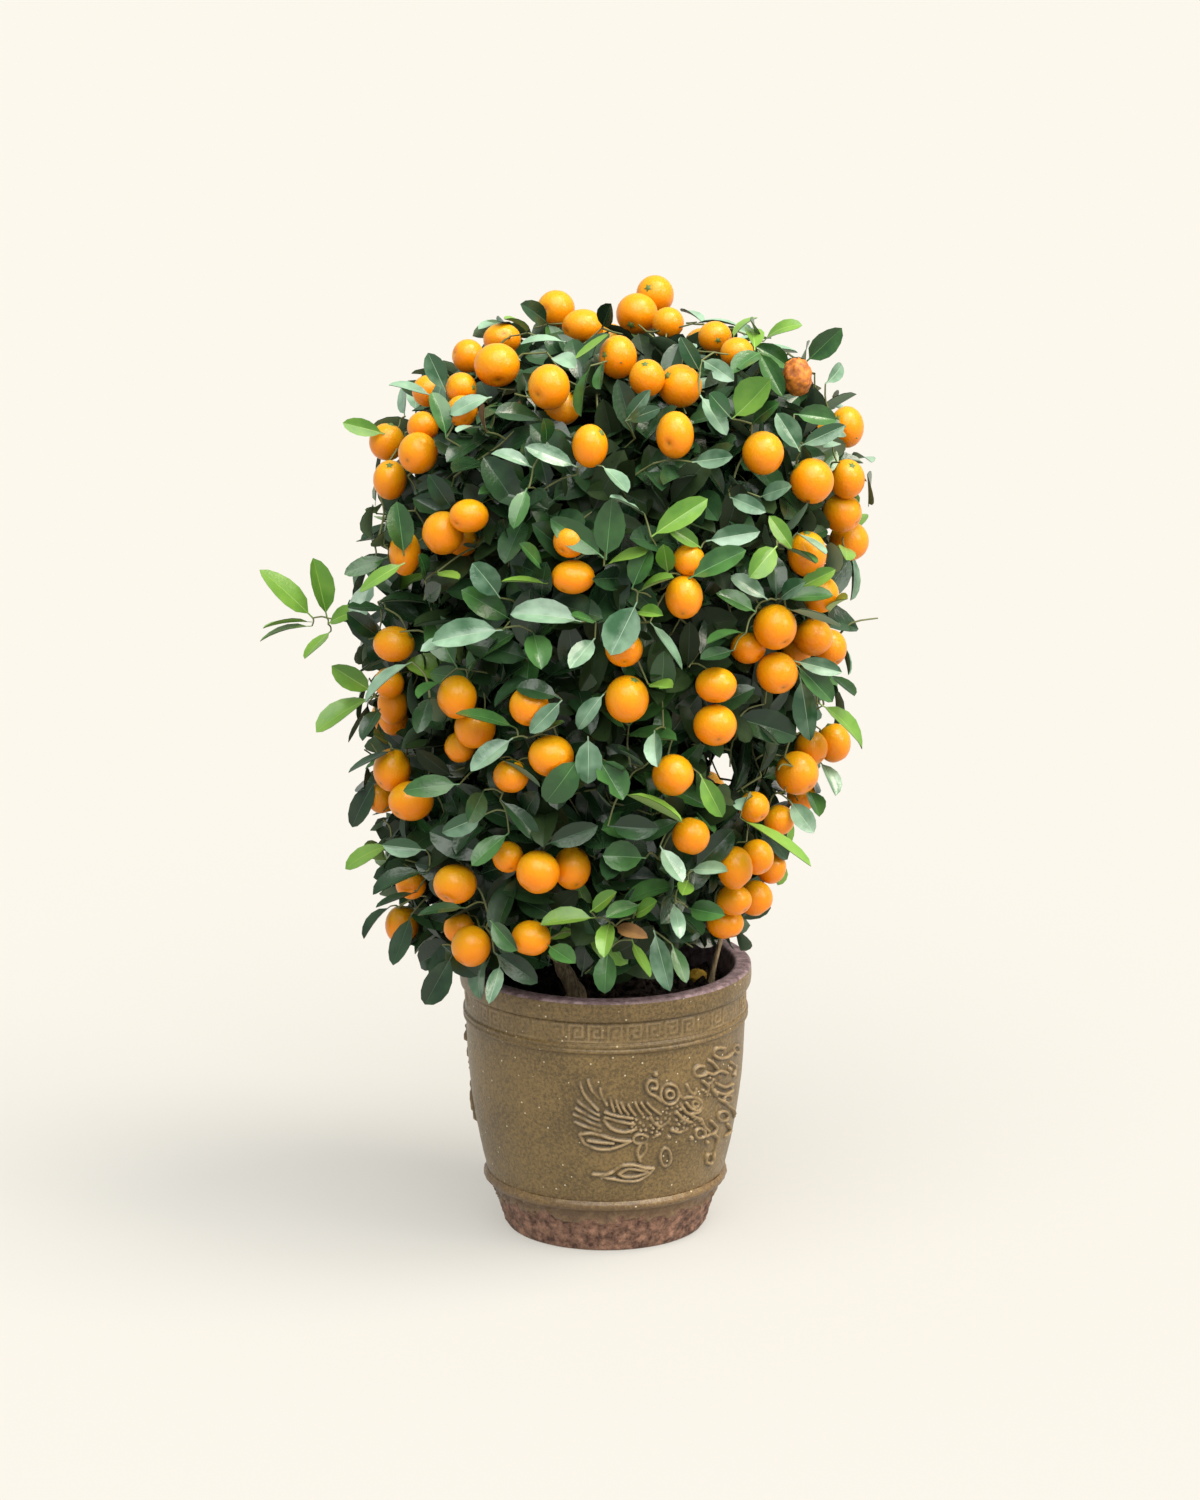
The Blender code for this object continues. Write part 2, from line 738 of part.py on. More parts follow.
def add_leaf(pieces, root, along, up, length):
    """An eight-faced leaf: a ball of eight faces, drawn out, flattened and a little arched."""
    wide = LEAF_WIDTH * length / LEAF_LENGTH
    whole = length + LEAF_SINK

    def build(shape):
        bmesh.ops.create_uvsphere(shape, u_segments=4, v_segments=2, radius=0.5)
        for vertex in shape.verts:
            is_end = abs(vertex.co.z) > 0.25
            vertex.co.x *= wide
            vertex.co.y *= LEAF_THICKNESS
            vertex.co.z = (vertex.co.z + 0.5) * whole - LEAF_SINK
            if not is_end:
                vertex.co.y += LEAF_ARCH * length
                vertex.co.z -= LEAF_BACKSET * length

    add_shape(pieces, "leaf", build, frame_of(root, along, up))


def add_rosette(crown, pieces, mass, fruits, tip, direction, dice, count, stray=False):
    """Leaves along a shoot's end; each turns on until it has room, or is left out."""
    made = 0
    side = direction.cross(FRONT if stray else LEAF_SIDE).normalized()
    turn = 0.0 if stray else dice.uniform(0.0, 2.0 * math.pi)
    spreads = STRAY_SPREADS if stray else LEAF_SPREADS
    for index in range(count):
        swing = dice.uniform(-SPREAD_VARIATION, SPREAD_VARIATION)
        spread = math.radians(spreads[index % len(spreads)] + swing)
        root = tip - direction * (LEAF_SPACING * index)
        length = LEAF_LENGTH * dice.uniform(1.0 - LEAF_VARIATION, 1.0 + LEAF_VARIATION)
        for _ in range(LEAF_ATTEMPTS):
            turn += math.pi if stray else GOLDEN_TURN
            radial = Matrix.Rotation(turn, 3, direction) @ side
            along = (direction * math.cos(spread) + radial * math.sin(spread)).normalized()
            up = (direction * math.sin(spread) - radial * math.cos(spread)).normalized()
            if stray:
                up = (FRONT - along * FRONT.dot(along)).normalized()
            points = leaf_points(root, along, up, length)
            in_fruit = any((point - spot).length < FRUIT_RADIUS for point in points for spot in fruits)
            if not in_fruit and all(crown.clear(mass, point, LEAF_SLACK, stray) for point in points):
                add_leaf(pieces, root, along, up, length)
                made += 1
                break
            length *= LEAF_SHRINK
    return made


def add_core(crown, pieces, mass):
    """The dense middle of a mass, shaped to its cell and well inside the leaves."""
    inward = mass.carrier.places[-1] - mass.centre

    def build(shape):
        bmesh.ops.create_icosphere(shape, subdivisions=2, radius=1.0)
        for vertex in shape.verts:
            direction = vertex.co.normalized()
            room = crown.reach(mass, direction)
            size = room * CORE_SHARE
            if crown_level(mass.centre + direction * room) > CORE_OUTSIDE_LEVEL:
                size = min(size, room - CORE_SKIN)
            if direction.dot(inward.normalized()) > CORE_STEM_TURN:
                size = min(size, inward.length * CORE_STEM_SHARE)
            vertex.co = direction * max(CORE_LEAST, size)

    return add_shape(pieces, "core", build, Matrix.Translation(mass.centre))


def onto_crown(across, up):
    """Slide a point of the front map along its line of sight onto the near side of the crown."""
    flat = Vector((across, 0.0, up)) * MILLIMETRE
    sight = (VIEWPOINT - flat) / -VIEWPOINT.y
    best = None
    for step in range(SIGHT_STEPS):
        place = flat + sight * (SIGHT_START - SIGHT_STEP * step)
        level = crown_level(place)
        if best is None or level < best[0]:
            best = (level, place)
        if level <= FRUIT_LEVEL:
            return place
    return best[1]


def fruit_cluster(place, count, slope):
    """The middles of fruits that hang together: a tight bunch round one place."""
    if count == 1:
        return [place]
    size = FRUIT_RADIUS * FRUIT_PACKING
    facing = (VIEWPOINT - place).normalized()
    level = facing.cross(Vector((0.0, 0.0, 1.0))).normalized() * -1.0
    upright = facing.cross(level) * -1.0
    turn = math.radians(slope)
    first = level * math.cos(turn) + upright * math.sin(turn)
    second = upright * math.cos(turn) - level * math.sin(turn)
    return [
        place + (first * along + second * across + facing * toward) * size
        for along, across, toward in BUNCH[:count]
    ]


def fruit_places():
    """Every fruit's middle: the front map, and the same map turned to the back of the crown."""
    places = []
    for across, up, count, slope in FRONT_FRUIT:
        places += fruit_cluster(onto_crown(across, up), min(count, FRUIT_LIMIT), slope)
    for place in list(places):
        behind = crown_axis(place.z) * 2.0 - place
        behind.z += BACK_LIFT if place.z < CROWN_WAIST else -BACK_LIFT
        if all((behind - other).length > FRUIT_RADIUS * BACK_SPACING for other in places):
            places.append(behind)
    return places


def add_fruit(crown, pieces, mass, places):
    """The fruits of one mass, each on a stalk from the middle of the mass."""

    def build(shape):
        bmesh.ops.create_uvsphere(
            shape, u_segments=FRUIT_SEGMENTS, v_segments=FRUIT_RINGS, radius=FRUIT_RADIUS
        )

    made = []
    for place in places:
        if crown.owner(place) is not mass:
            continue
        spot = crown.settled(mass, place, FRUIT_RADIUS)
        too_near = any((spot - other).length < FRUIT_RADIUS * FRUIT_NEAREST for other in made)
        if too_near or not crown.clear(mass, spot, FRUIT_RADIUS, stray=True):
            continue
        if not crown.twig_clear(mass, mass.centre, spot, stray=True):
            continue
        made.append(spot)
        add_shape(pieces, "fruit", build, frame_of(spot, spot - mass.centre, FRUIT_UP))
        add_twig(pieces, mass.centre, spot, STALK_RADIUS, STALK_RADIUS)
    return made


def add_stray_shoots(crown, pieces, mass, fruits, dice):
    """The long shoots that leave the crown's outline, on the mass that each is rooted in."""
    made = 0
    for root_across, root_up, tip_across, tip_up, count in STRAY_SHOOTS:
        root = onto_crown(root_across, root_up)
        if crown.owner(root) is not mass:
            continue
        tip = Vector((tip_across * MILLIMETRE, root.y, tip_up * MILLIMETRE))
        direction = (tip - root).normalized()
        twig_end = tip - direction * (LEAF_LENGTH * STRAY_LEAF_SHARE)
        if (twig_end - root).dot(direction) < STRAY_LEAST:
            twig_end = root + direction * STRAY_LEAST
        rooted = crown.twig_clear(mass, mass.centre, root, stray=True)
        if not (rooted and crown.twig_clear(mass, root, twig_end, stray=True)):
            continue
        add_twig(pieces, mass.centre, root, TWIG_BASE_RADIUS, TWIG_BASE_RADIUS)
        lap = direction * TWIG_LAP
        add_twig(pieces, root - lap, twig_end + lap, TWIG_BASE_RADIUS, TWIG_TIP_RADIUS)
        made += add_rosette(crown, pieces, mass, fruits, twig_end, direction, dice, count, stray=True)
    return made


def make_foliage(crown, mass, shoots, fruit, collection, material, seed):
    """One mass: its stem, core, shoots with their leaves, and fruit, joined into one body."""
    dice = random.Random(seed)
    pieces = new_collection(f"pieces_{mass.name}")
    add_core(crown, pieces, mass)
    tip = mass.carrier.places[-1]
    direction = mass.carrier.end_direction()
    start = tip + direction * GAP
    line = smooth_line([start, start + direction * STEM_RUN, mass.centre], 2)
    line[1] = start + direction * STEM_ROOT_RUN
    tube("stem", line, taper(STEM_BASE_RADIUS, STEM_TIP_RADIUS, len(line)), 0, pieces, None)
    fruits = add_fruit(crown, pieces, mass, fruit)
    leaves = 0
    for place in shoots:
        heading_out = (place - mass.centre).normalized()
        tip = place - heading_out * (LEAF_LENGTH * SHOOT_INSET)
        if crown.owner(place) is not mass or not crown.twig_clear(mass, mass.centre, tip):
            continue
        add_twig(pieces, mass.centre, tip + heading_out * TWIG_LAP, TWIG_BASE_RADIUS, TWIG_TIP_RADIUS)
        leaves += add_rosette(crown, pieces, mass, fruits, tip, heading_out, dice, LEAVES_PER_SHOOT)
    leaves += add_stray_shoots(crown, pieces, mass, fruits, dice)
    item = fuse(f"foliage_{mass.name}", pieces, collection, material)
    print(item.name, "leaves", leaves, "fruit", len(fruits), "faces", len(item.data.polygons))
    return leaves, len(fruits)


def main():
    clear_scene()
    plant = new_collection("potted_kumquat")
    cutters = new_collection("cutters")
    glaze = make_material("pot_glaze", "#8A7852", 0.35)
    earth = make_material("soil", "#2B211A", 0.95)
    bark = make_material("bark", "#7A6A4E", 0.80)
    greenery = make_material("foliage", "#2F5A34", 0.45)

    make_pot(plant, glaze)
    make_soil(plant, earth)

    trunk = Limb("trunk", TRUNK_PLACES, TRUNK_RADII)
    side_stem = Limb("stem_right", SIDE_STEM_PLACES, SIDE_STEM_RADII)
    leaders = make_leaders(trunk)
    masses = make_masses()
    boughs = make_boughs(masses, leaders, side_stem)

    tube(trunk.name, trunk.places, trunk.radii, 2, plant, bark)
    tube(side_stem.name, side_stem.places, side_stem.radii, 1, plant, bark)
    for leader, entry in zip(leaders, LEADERS):
        item = tube(leader.name, leader.places, leader.radii, 2, plant, bark)
        if entry[2] is not None:
            cut_clear(item, trunk, cutters)
    for bough, leader in boughs:
        item = tube(bough.name, bough.places, bough.radii, 1, plant, bark)
        cut_clear(item, leader, cutters)

    limbs = [trunk, side_stem] + leaders + [bough for bough, _ in boughs]
    crown = Crown(masses, limbs)
    fruit = fruit_places()
    shoots = surface_places(SHOOTS, random.Random(SHOOT_SEED))
    total_leaves = 0
    total_fruit = 0
    for seed, mass in enumerate(masses, start=1):
        leaves, fruits = make_foliage(crown, mass, shoots, fruit, plant, greenery, seed)
        total_leaves += leaves
        total_fruit += fruits
    print("leaves", total_leaves, "fruit", total_fruit)


main()
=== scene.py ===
# %% [markdown]
# # A potted four seasons kumquat
#
# This lesson dresses a small citrus tree in its glazed pot. The solids of the plant come in as a
# frame; each step then makes one real thing over them: the pot and its raised ornament, the soil,
# the bark, the twigs, some thousands of leaves, and the fruit. Lengths are in metres, or in
# millimetres where a name or a comment says so. +Z is up, the origin is the middle of the pot's
# flat underside, and the front looks along -Y.

# %% Load the frame and keep its size
import math
import random
from dataclasses import dataclass

import bpy
import numpy as np
from mathutils import Matrix, Vector, noise


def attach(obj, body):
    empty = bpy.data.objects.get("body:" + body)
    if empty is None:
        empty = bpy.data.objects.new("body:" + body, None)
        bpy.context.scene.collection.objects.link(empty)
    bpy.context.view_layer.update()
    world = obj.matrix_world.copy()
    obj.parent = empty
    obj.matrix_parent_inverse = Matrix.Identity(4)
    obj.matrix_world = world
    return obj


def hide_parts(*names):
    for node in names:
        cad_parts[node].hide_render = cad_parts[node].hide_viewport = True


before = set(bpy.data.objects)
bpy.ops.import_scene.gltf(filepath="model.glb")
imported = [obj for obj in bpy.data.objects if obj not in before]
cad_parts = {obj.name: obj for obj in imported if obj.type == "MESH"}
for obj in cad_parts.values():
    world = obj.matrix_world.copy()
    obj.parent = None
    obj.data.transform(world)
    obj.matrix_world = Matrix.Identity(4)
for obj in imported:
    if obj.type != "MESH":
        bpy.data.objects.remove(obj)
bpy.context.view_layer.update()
MM = 0.001

# %% [markdown]
# ## Small tools
#
# A few helpers serve the whole scene. Colours are written as the hex values that a paint program
# shows, so one function turns them into linear light. One function adds a shader node with its
# settings and links, and another starts a material. A heap gathers small shapes, because one joined
# mesh of some thousand leaves is far quicker to draw than as many objects. The last one puts a mesh
# in the scene as a named piece that rides on the plant.

# %% Colours
# The sRGB curve is straight near black, and a power above that
SRGB_KNEE = 0.04045
SRGB_SLOPE = 12.92
SRGB_OFFSET = 0.055
SRGB_POWER = 2.4
BRIGHTEST_BYTE = 255.0


def linear(hex_colour):
    """An sRGB hex colour as linear red, green, blue and alpha."""
    light = []
    for index in (1, 3, 5):
        shade = int(hex_colour[index:index + 2], 16) / BRIGHTEST_BYTE
        curved = ((shade + SRGB_OFFSET) / (1.0 + SRGB_OFFSET)) ** SRGB_POWER
        light.append(shade / SRGB_SLOPE if shade <= SRGB_KNEE else curved)
    return (*light, 1.0)


print("the grey #808080 is", round(linear("#808080")[0], 3), "in linear light")

# %% Shader nodes and materials
# The Mix node keeps one set of sockets for each kind of value; these are its colour sockets
MIX_SHARE, MIX_FIRST, MIX_SECOND, MIX_RESULT = 0, 6, 7, 2


def add_node(tree, kind, inputs=None, **settings):
    """Add a shader node: inputs are values, or outputs of other nodes to link."""
    made = tree.nodes.new(kind)
    for name, value in settings.items():
        setattr(made, name, value)
    for socket, value in (inputs or {}).items():
        if isinstance(value, bpy.types.NodeSocket):
            tree.links.new(value, made.inputs[socket])
        else:
            made.inputs[socket].default_value = value
    return made


def new_material(name, surface):
    """A Principled material: constants go straight onto the shader's own sockets."""
    material = bpy.data.materials.new(name)
    material.use_nodes = True
    tree = material.node_tree
    shader = tree.nodes["Principled BSDF"]
    for socket, value in surface.items():
        shader.inputs[socket].default_value = value
    return material, tree, shader


# %% Gather small shapes into one mesh
class Heap:
    """Many small shapes that become one mesh."""

    def __init__(self):
        self.points = []
        self.corners = []
        self.sizes = []
        self.slots = []
        self.count = 0

    def add(self, points, corners, sizes, slots):
        """Add one shape: its points, the corners of its faces, and each face's size and material."""
        self.points.append(np.asarray(points, float))
        self.corners.append(np.asarray(corners) + self.count)
        self.sizes.append(np.asarray(sizes))
        self.slots.append(np.asarray(slots))
        self.count += len(points)

    def add_quads(self, points, corners, slots=0):
        """Add one shape of four-cornered faces; slots is a material for all of them, or one for each."""
        count = len(corners) // 4
        self.add(points, corners, np.full(count, 4), np.broadcast_to(slots, count))

    def mesh(self, name):
        """Everything in the heap as one smooth-shaded mesh."""
        points = np.concatenate(self.points).astype(np.float32)
        corners = np.concatenate(self.corners).astype(np.int32)
        sizes = np.concatenate(self.sizes).astype(np.int32)
        made = bpy.data.meshes.new(name)
        made.vertices.add(len(points))
        made.vertices.foreach_set("co", points.ravel())
        made.loops.add(len(corners))
        made.loops.foreach_set("vertex_index", corners)
        made.polygons.add(len(sizes))
        made.polygons.foreach_set("loop_start", np.cumsum(sizes, dtype=np.int32) - sizes)
        made.polygons.foreach_set("material_index", np.concatenate(self.slots).astype(np.int32))
        made.update(calc_edges=True)
        made.validate()
        made.shade_smooth()
        return made


def grid_corners(rows, columns, closed):
    """The corners of the quads of a grid of points; a closed grid joins its last column to its first."""
    spans = columns if closed else columns - 1
    row, column = np.meshgrid(np.arange(rows - 1), np.arange(spans), indexing="ij")
    here = row * columns + column
    beside = row * columns + (column + 1) % columns
    return np.stack([here, beside, beside + columns, here + columns], axis=-1).reshape(-1)


# %% Put a piece on the plant
def add_piece(name, mesh, materials, replaces=()):
    """Put a mesh in the scene as a piece of the plant."""
    for material in materials:
        mesh.materials.append(material)
    item = bpy.data.objects.new(name, mesh)
    bpy.context.scene.collection.objects.link(item)
    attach(item, "root")
    if replaces:
        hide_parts(*replaces)
    triangles = sum(len(face.vertices) - 2 for face in mesh.polygons)
    print(f"{name}: {triangles} triangles")
    return item


# %% [markdown]
# ## Camera, floor and light
#
# The plant stands on a plain cream floor that fills the picture, seen from a little above with a
# long lens. The light is that of a bright hazy day: a pale sky from everywhere, a warm sun at the
# upper right, a broad bright cloud in front, and a little low light from the right. Lamps of the sun
# kind give all but the sky, since such light has a direction and a width but no place. A wide lamp
# makes a soft shadow, and the shadow is what sets the pot on the floor. The floor glows a little by
# itself, so the shadow stays pale.

# %% Camera
CAMERA_PLACE = (0.0, -4.317, 1.495)
CAMERA_PITCH = math.radians(14.2)
CAMERA_YAW = math.radians(0.06)
LENS_MM = 131.0
SENSOR_MM = 36.0

camera_data = bpy.data.cameras.new("camera")
camera_data.lens = LENS_MM
camera_data.sensor_fit = "VERTICAL"
camera_data.sensor_height = SENSOR_MM
camera = bpy.data.objects.new("camera", camera_data)
camera.location = CAMERA_PLACE
camera.rotation_euler = (math.pi / 2.0 - CAMERA_PITCH, 0.0, CAMERA_YAW)
bpy.context.scene.collection.objects.link(camera)
bpy.context.scene.camera = camera
pitch_degrees = round(math.degrees(CAMERA_PITCH), 1)
print("the camera looks down by", pitch_degrees, "degrees, with a lens of", LENS_MM, "mm")

# %% Lines of sight
# Some places below are given across and down in a picture 1200 wide and 1500 tall
PICTURE_WIDTH, PICTURE_HEIGHT = 1200, 1500
FOCAL_PIXELS = LENS_MM / SENSOR_MM * PICTURE_HEIGHT
VIEWPOINT = Vector(CAMERA_PLACE)


def sight(across, down):
    """The direction from the camera through a place in the picture."""
    turn = camera.rotation_euler.to_matrix()
    spot = Vector((across - PICTURE_WIDTH / 2, PICTURE_HEIGHT / 2 - down, -FOCAL_PIXELS))
    return (turn @ spot).normalized()


middle_ray = sight(PICTURE_WIDTH / 2, PICTURE_HEIGHT / 2)
print("the middle of the picture looks along", [round(part, 3) for part in middle_ray])

# %% Floor
# Plain matte paper
FLOOR_HALF = 40.0
FLOOR_PAPER = "#807F7D"
FLOOR_GLOW_COLOUR = "#FCF8EC"
FLOOR_GLOW = 0.45

floor_heap = Heap()
floor_points = [(x * FLOOR_HALF, y * FLOOR_HALF, 0.0) for y in (-1.0, 1.0) for x in (-1.0, 1.0)]
floor_heap.add_quads(floor_points, grid_corners(2, 2, False))
floor = bpy.data.objects.new("floor", floor_heap.mesh("floor"))
floor_paper, _, _ = new_material(
    "cream_paper_floor",
    {"Base Color": linear(FLOOR_PAPER), "Roughness": 1.0, "Specular IOR Level": 0.0,
     "Emission Color": linear(FLOOR_GLOW_COLOUR), "Emission Strength": FLOOR_GLOW},
)
floor.data.materials.append(floor_paper)
bpy.context.scene.collection.objects.link(floor)
print("the floor is", 2.0 * FLOOR_HALF, "m wide")

# %% Light
SKY_COLOUR = "#FBFCFF"
SKY_STRENGTH = 0.58
# Each lamp: its bearing, its height and its width in degrees, its colour and its strength
SUNS = (
    ("sun_from_the_right", -12.0, 64.0, 24.0, "#FFF3E2", 2.45),
    ("bright_cloud_in_front", -82.0, 60.0, 60.0, "#FBFAF6", 4.0),
    ("low_light_from_the_right", -26.0, 27.0, 22.0, "#FFF4E4", 1.4),
)

world = bpy.data.worlds.new("hazy_sky")
world.use_nodes = True
world.node_tree.nodes["Background"].inputs["Color"].default_value = linear(SKY_COLOUR)
world.node_tree.nodes["Background"].inputs["Strength"].default_value = SKY_STRENGTH
bpy.context.scene.world = world
bpy.context.scene.view_settings.view_transform = "Standard"

for name, bearing, height, width, colour, strength in SUNS:
    lamp_data = bpy.data.lights.new(name, "SUN")
    lamp_data.energy = strength
    lamp_data.angle = math.radians(width)
    lamp_data.color = linear(colour)[:3]
    lamp = bpy.data.objects.new(name, lamp_data)
    turn, rise = math.radians(bearing), math.radians(height)
    toward = Vector((math.cos(rise) * math.cos(turn), math.cos(rise) * math.sin(turn), math.sin(rise)))
    lamp.rotation_euler = toward.to_track_quat("Z", "Y").to_euler()
    bpy.context.scene.collection.objects.link(lamp)
    print(name, "shines from", [round(part, 2) for part in toward])

# %% [markdown]
# ## The pot's raised ornament
#
# The pot was pressed in a mould, so its ornament is part of the wall: a long-tailed bird with a fan
# of feathers, beads and curling scrolls, soft at the edges because glaze pooled round them. Separate
# rods laid on the wall would look stuck on. Here the ornament is a height map worked out by a rule:
# every stroke is a smooth line in millimetres, and the wall rises near it in a round swell.
# The same figure is pressed twice, on the front and on the back, where its tail reaches the left side.

# %% The pot's profile, the same as the solid's
POT_HEIGHT = 0.224
LIP_RADIUS = 0.120
LIP_WIDTH = 0.014
LIP_DEPTH = 0.0175
FRIEZE_RADIUS = 0.116
FRIEZE_TOP = 0.205
RIDGE_RADIUS = 0.1178
RIDGE_TOP = 0.187
RIDGE_BOTTOM = 0.179
BODY_TOP_RADIUS = 0.1148
BODY_TOP = 0.176
BODY_BOTTOM_RADIUS = 0.0977
BODY_BOTTOM = 0.046
BODY_FULLNESS = 1.9
FOOT_RIDGE_RADIUS = 0.0935
FOOT_RIDGE_TOP = 0.038
FOOT_RADIUS = 0.0903
FOOT_TOP = 0.027
BASE_RADIUS = 0.082
SOIL_TOP = 0.200


def outer_wall(height):
    """The radius of the pot's body at a height."""
    share = np.clip((BODY_TOP - height) / (BODY_TOP - BODY_BOTTOM), 0.0, 1.0)
    return BODY_TOP_RADIUS - (BODY_TOP_RADIUS - BODY_BOTTOM_RADIUS) * share**BODY_FULLNESS


mid_height = (BODY_TOP + BODY_BOTTOM) / 2.0
print("half-way up its body the pot is", round(2.0 * float(outer_wall(mid_height)), 3), "m across")

# %% Smooth lines
def smooth_line(places, steps):
    """Places along a smooth curve through the given ones, by the Catmull-Rom rule."""
    line = []
    count = len(places)
    for index in range(count - 1):
        before = places[max(index - 1, 0)]
        start, end = places[index], places[index + 1]
        after = places[min(index + 2, count - 1)]
        for step in range(steps):
            share = step / steps
            pull = (end - before) * share + (before * 2 - start * 5 + end * 4 - after) * share**2
            pull += (start * 3 - before - end * 3 + after) * share**3
            line.append(start + pull * 0.5)
    line.append(places[-1].copy())
    return line


# %% Strokes of the ornament
# Each stroke is a list of places in the picture, across and down
FAN = (
    ((600, 1099), (592, 1090), (588, 1080)), ((598, 1110), (586, 1097), (580, 1083)),
    ((599, 1115), (588, 1109), (578, 1101)), ((599, 1120), (589, 1116), (576, 1108)),
    ((600, 1126), (590, 1122), (574, 1114)), ((607, 1105), (602, 1097), (600, 1089)),
    ((614, 1111), (612, 1105), (610, 1098)), ((621, 1113), (618, 1107), (616, 1101)),
    ((628, 1114), (624, 1109), (621, 1103)), ((635, 1115), (631, 1110), (628, 1105)),
    ((642, 1114), (638, 1109), (635, 1103)), ((650, 1114), (645, 1109), (641, 1103)),
    ((660, 1114), (653, 1109), (647, 1103)), ((600, 1131), (590, 1128), (575, 1122)),
)
SCROLLS = (
    ((605, 1112), (618, 1116), (632, 1118)), ((605, 1117), (618, 1121), (634, 1124)),
    ((604, 1120), (611, 1128), (623, 1132), (636, 1129)),
    ((580, 1134), (592, 1133), (606, 1137), (618, 1140), (630, 1141)),
    ((580, 1134), (585, 1143), (596, 1148), (607, 1149), (619, 1146), (630, 1141)),
    ((588, 1140), (600, 1142), (613, 1143)),
    ((661, 1101), (655, 1096), (648, 1092), (646, 1085), (650, 1080), (656, 1082), (656, 1088), (651, 1088)),
    ((677, 1090), (682, 1098), (690, 1097), (698, 1099), (701, 1105), (697, 1110), (690, 1108), (686, 1103)),
    ((686, 1085), (689, 1091), (694, 1094), (696, 1089)),
    ((680, 1104), (684, 1111), (691, 1115), (698, 1119)),
    ((690, 1113), (697, 1112), (702, 1108)), ((700, 1119), (703, 1126), (708, 1131)),
    ((704, 1136), (711, 1134), (716, 1138), (715, 1147), (713, 1155), (711, 1163), (706, 1162), (706, 1155),
     (711, 1154)),
    ((710, 1121), (715, 1127), (713, 1133)), ((718, 1099), (725, 1103), (731, 1109), (733, 1116)),
    ((723, 1048), (716, 1048), (713, 1054), (718, 1058), (726, 1057), (732, 1052)),
    ((708, 1060), (712, 1063), (716, 1068)),
    ((703, 1066), (697, 1066), (693, 1071), (697, 1076), (705, 1074)),
    ((702, 1081), (708, 1087), (706, 1095)), ((712, 1079), (711, 1087), (715, 1095)),
    ((717, 1084), (724, 1087), (731, 1084)), ((716, 1092), (724, 1094), (731, 1090)),
    ((705, 1072), (712, 1074), (719, 1071), (726, 1073)), ((730, 1062), (735, 1067), (733, 1075)),
    ((726, 1124), (729, 1130), (724, 1136)), ((671, 1130), (679, 1132), (687, 1129)),
    ((640, 1145), (637, 1152), (640, 1161)), ((646, 1144), (646, 1151), (641, 1157)),
    ((593, 1174), (603, 1175), (612, 1172), (622, 1166), (634, 1165), (645, 1168), (653, 1168)),
    ((601, 1177), (614, 1179), (626, 1181), (638, 1180), (647, 1175), (653, 1168)),
    ((619, 1174), (628, 1169), (640, 1170), (647, 1172), (636, 1176), (626, 1177), (619, 1174)),
    ((650, 1117), (654, 1123), (661, 1126), (668, 1122)), ((676, 1112), (682, 1119), (690, 1122)),
)
# Rings: middle across and down, half-width and half-height, all in the picture
RINGS_OF_ORNAMENT = (
    (669, 1094, 9, 10), (669, 1094, 4, 4), (640, 1139, 7, 5), (665, 1157, 5, 9), (699, 1133, 5, 5),
    (722, 1116, 5, 5), (695, 1104, 3, 3), (736, 1049, 3, 4), (727, 1099, 4, 4),
)
# Beads: middle of the patch across and down, its half-width and half-height, and how many
BEADS = ((646, 1128, 17, 12, 42), (675, 1118, 13, 13, 36), (694, 1122, 8, 6, 10), (708, 1086, 8, 9, 10))
KNOBS = ((655, 1074), (656, 1135), (668, 1137), (706, 1142), (719, 1077), (729, 1069), (690, 1138))

# %% Set the strokes onto the wall
# Widths, radii, the spacing and the rise are in millimetres
FAN_HALF_WIDTH = 1.50
SCROLL_HALF_WIDTH = 1.75
RING_HALF_WIDTH = 1.55
BEAD_RADIUS = 1.60
KNOB_RADIUS = 2.4
BEAD_SPACING = 3.3
STROKE_RISE = 2.8
DOT_LENGTH = 0.3
STROKE_STEPS = 6
RING_STEPS = 24
BEAD_SEED = 3
BEAD_TRIES = 4
# The search starts in the air before the pot, this far from the camera, and goes on by small steps
WALL_SEARCH_START = 4.0
WALL_SEARCH = 0.0005


def onto_wall(across, down):
    """A place in the picture set onto the pot's wall: millimetres round it from the front, and up."""
    ray = sight(across, down)
    place = VIEWPOINT + ray * WALL_SEARCH_START
    while math.hypot(place.x, place.y) > float(outer_wall(place.z)) and place.y < 0.0:
        place += ray * WALL_SEARCH
    turn = math.atan2(place.x, -place.y)
    return Vector((turn * float(outer_wall(place.z)), place.z)) / MM


def bead_spots():
    """Places strewn over the patches of beads, none closer to another than the spacing."""
    dice = random.Random(BEAD_SEED)
    spots = []
    for across, down, half_width, half_height, count in BEADS:
        for _ in range(count * BEAD_TRIES):
            turn, reach = dice.uniform(0.0, 2.0 * math.pi), math.sqrt(dice.random())
            right, below = half_width * reach * math.cos(turn), half_height * reach * math.sin(turn)
            spot = onto_wall(across + right, down + below)
            if all((spot - other).length > BEAD_SPACING for other in spots):
                spots.append(spot)
    return spots


def dot(spot):
    """A very short line, which rises as a round dot."""
    return [spot, spot + Vector((DOT_LENGTH, 0.0))]


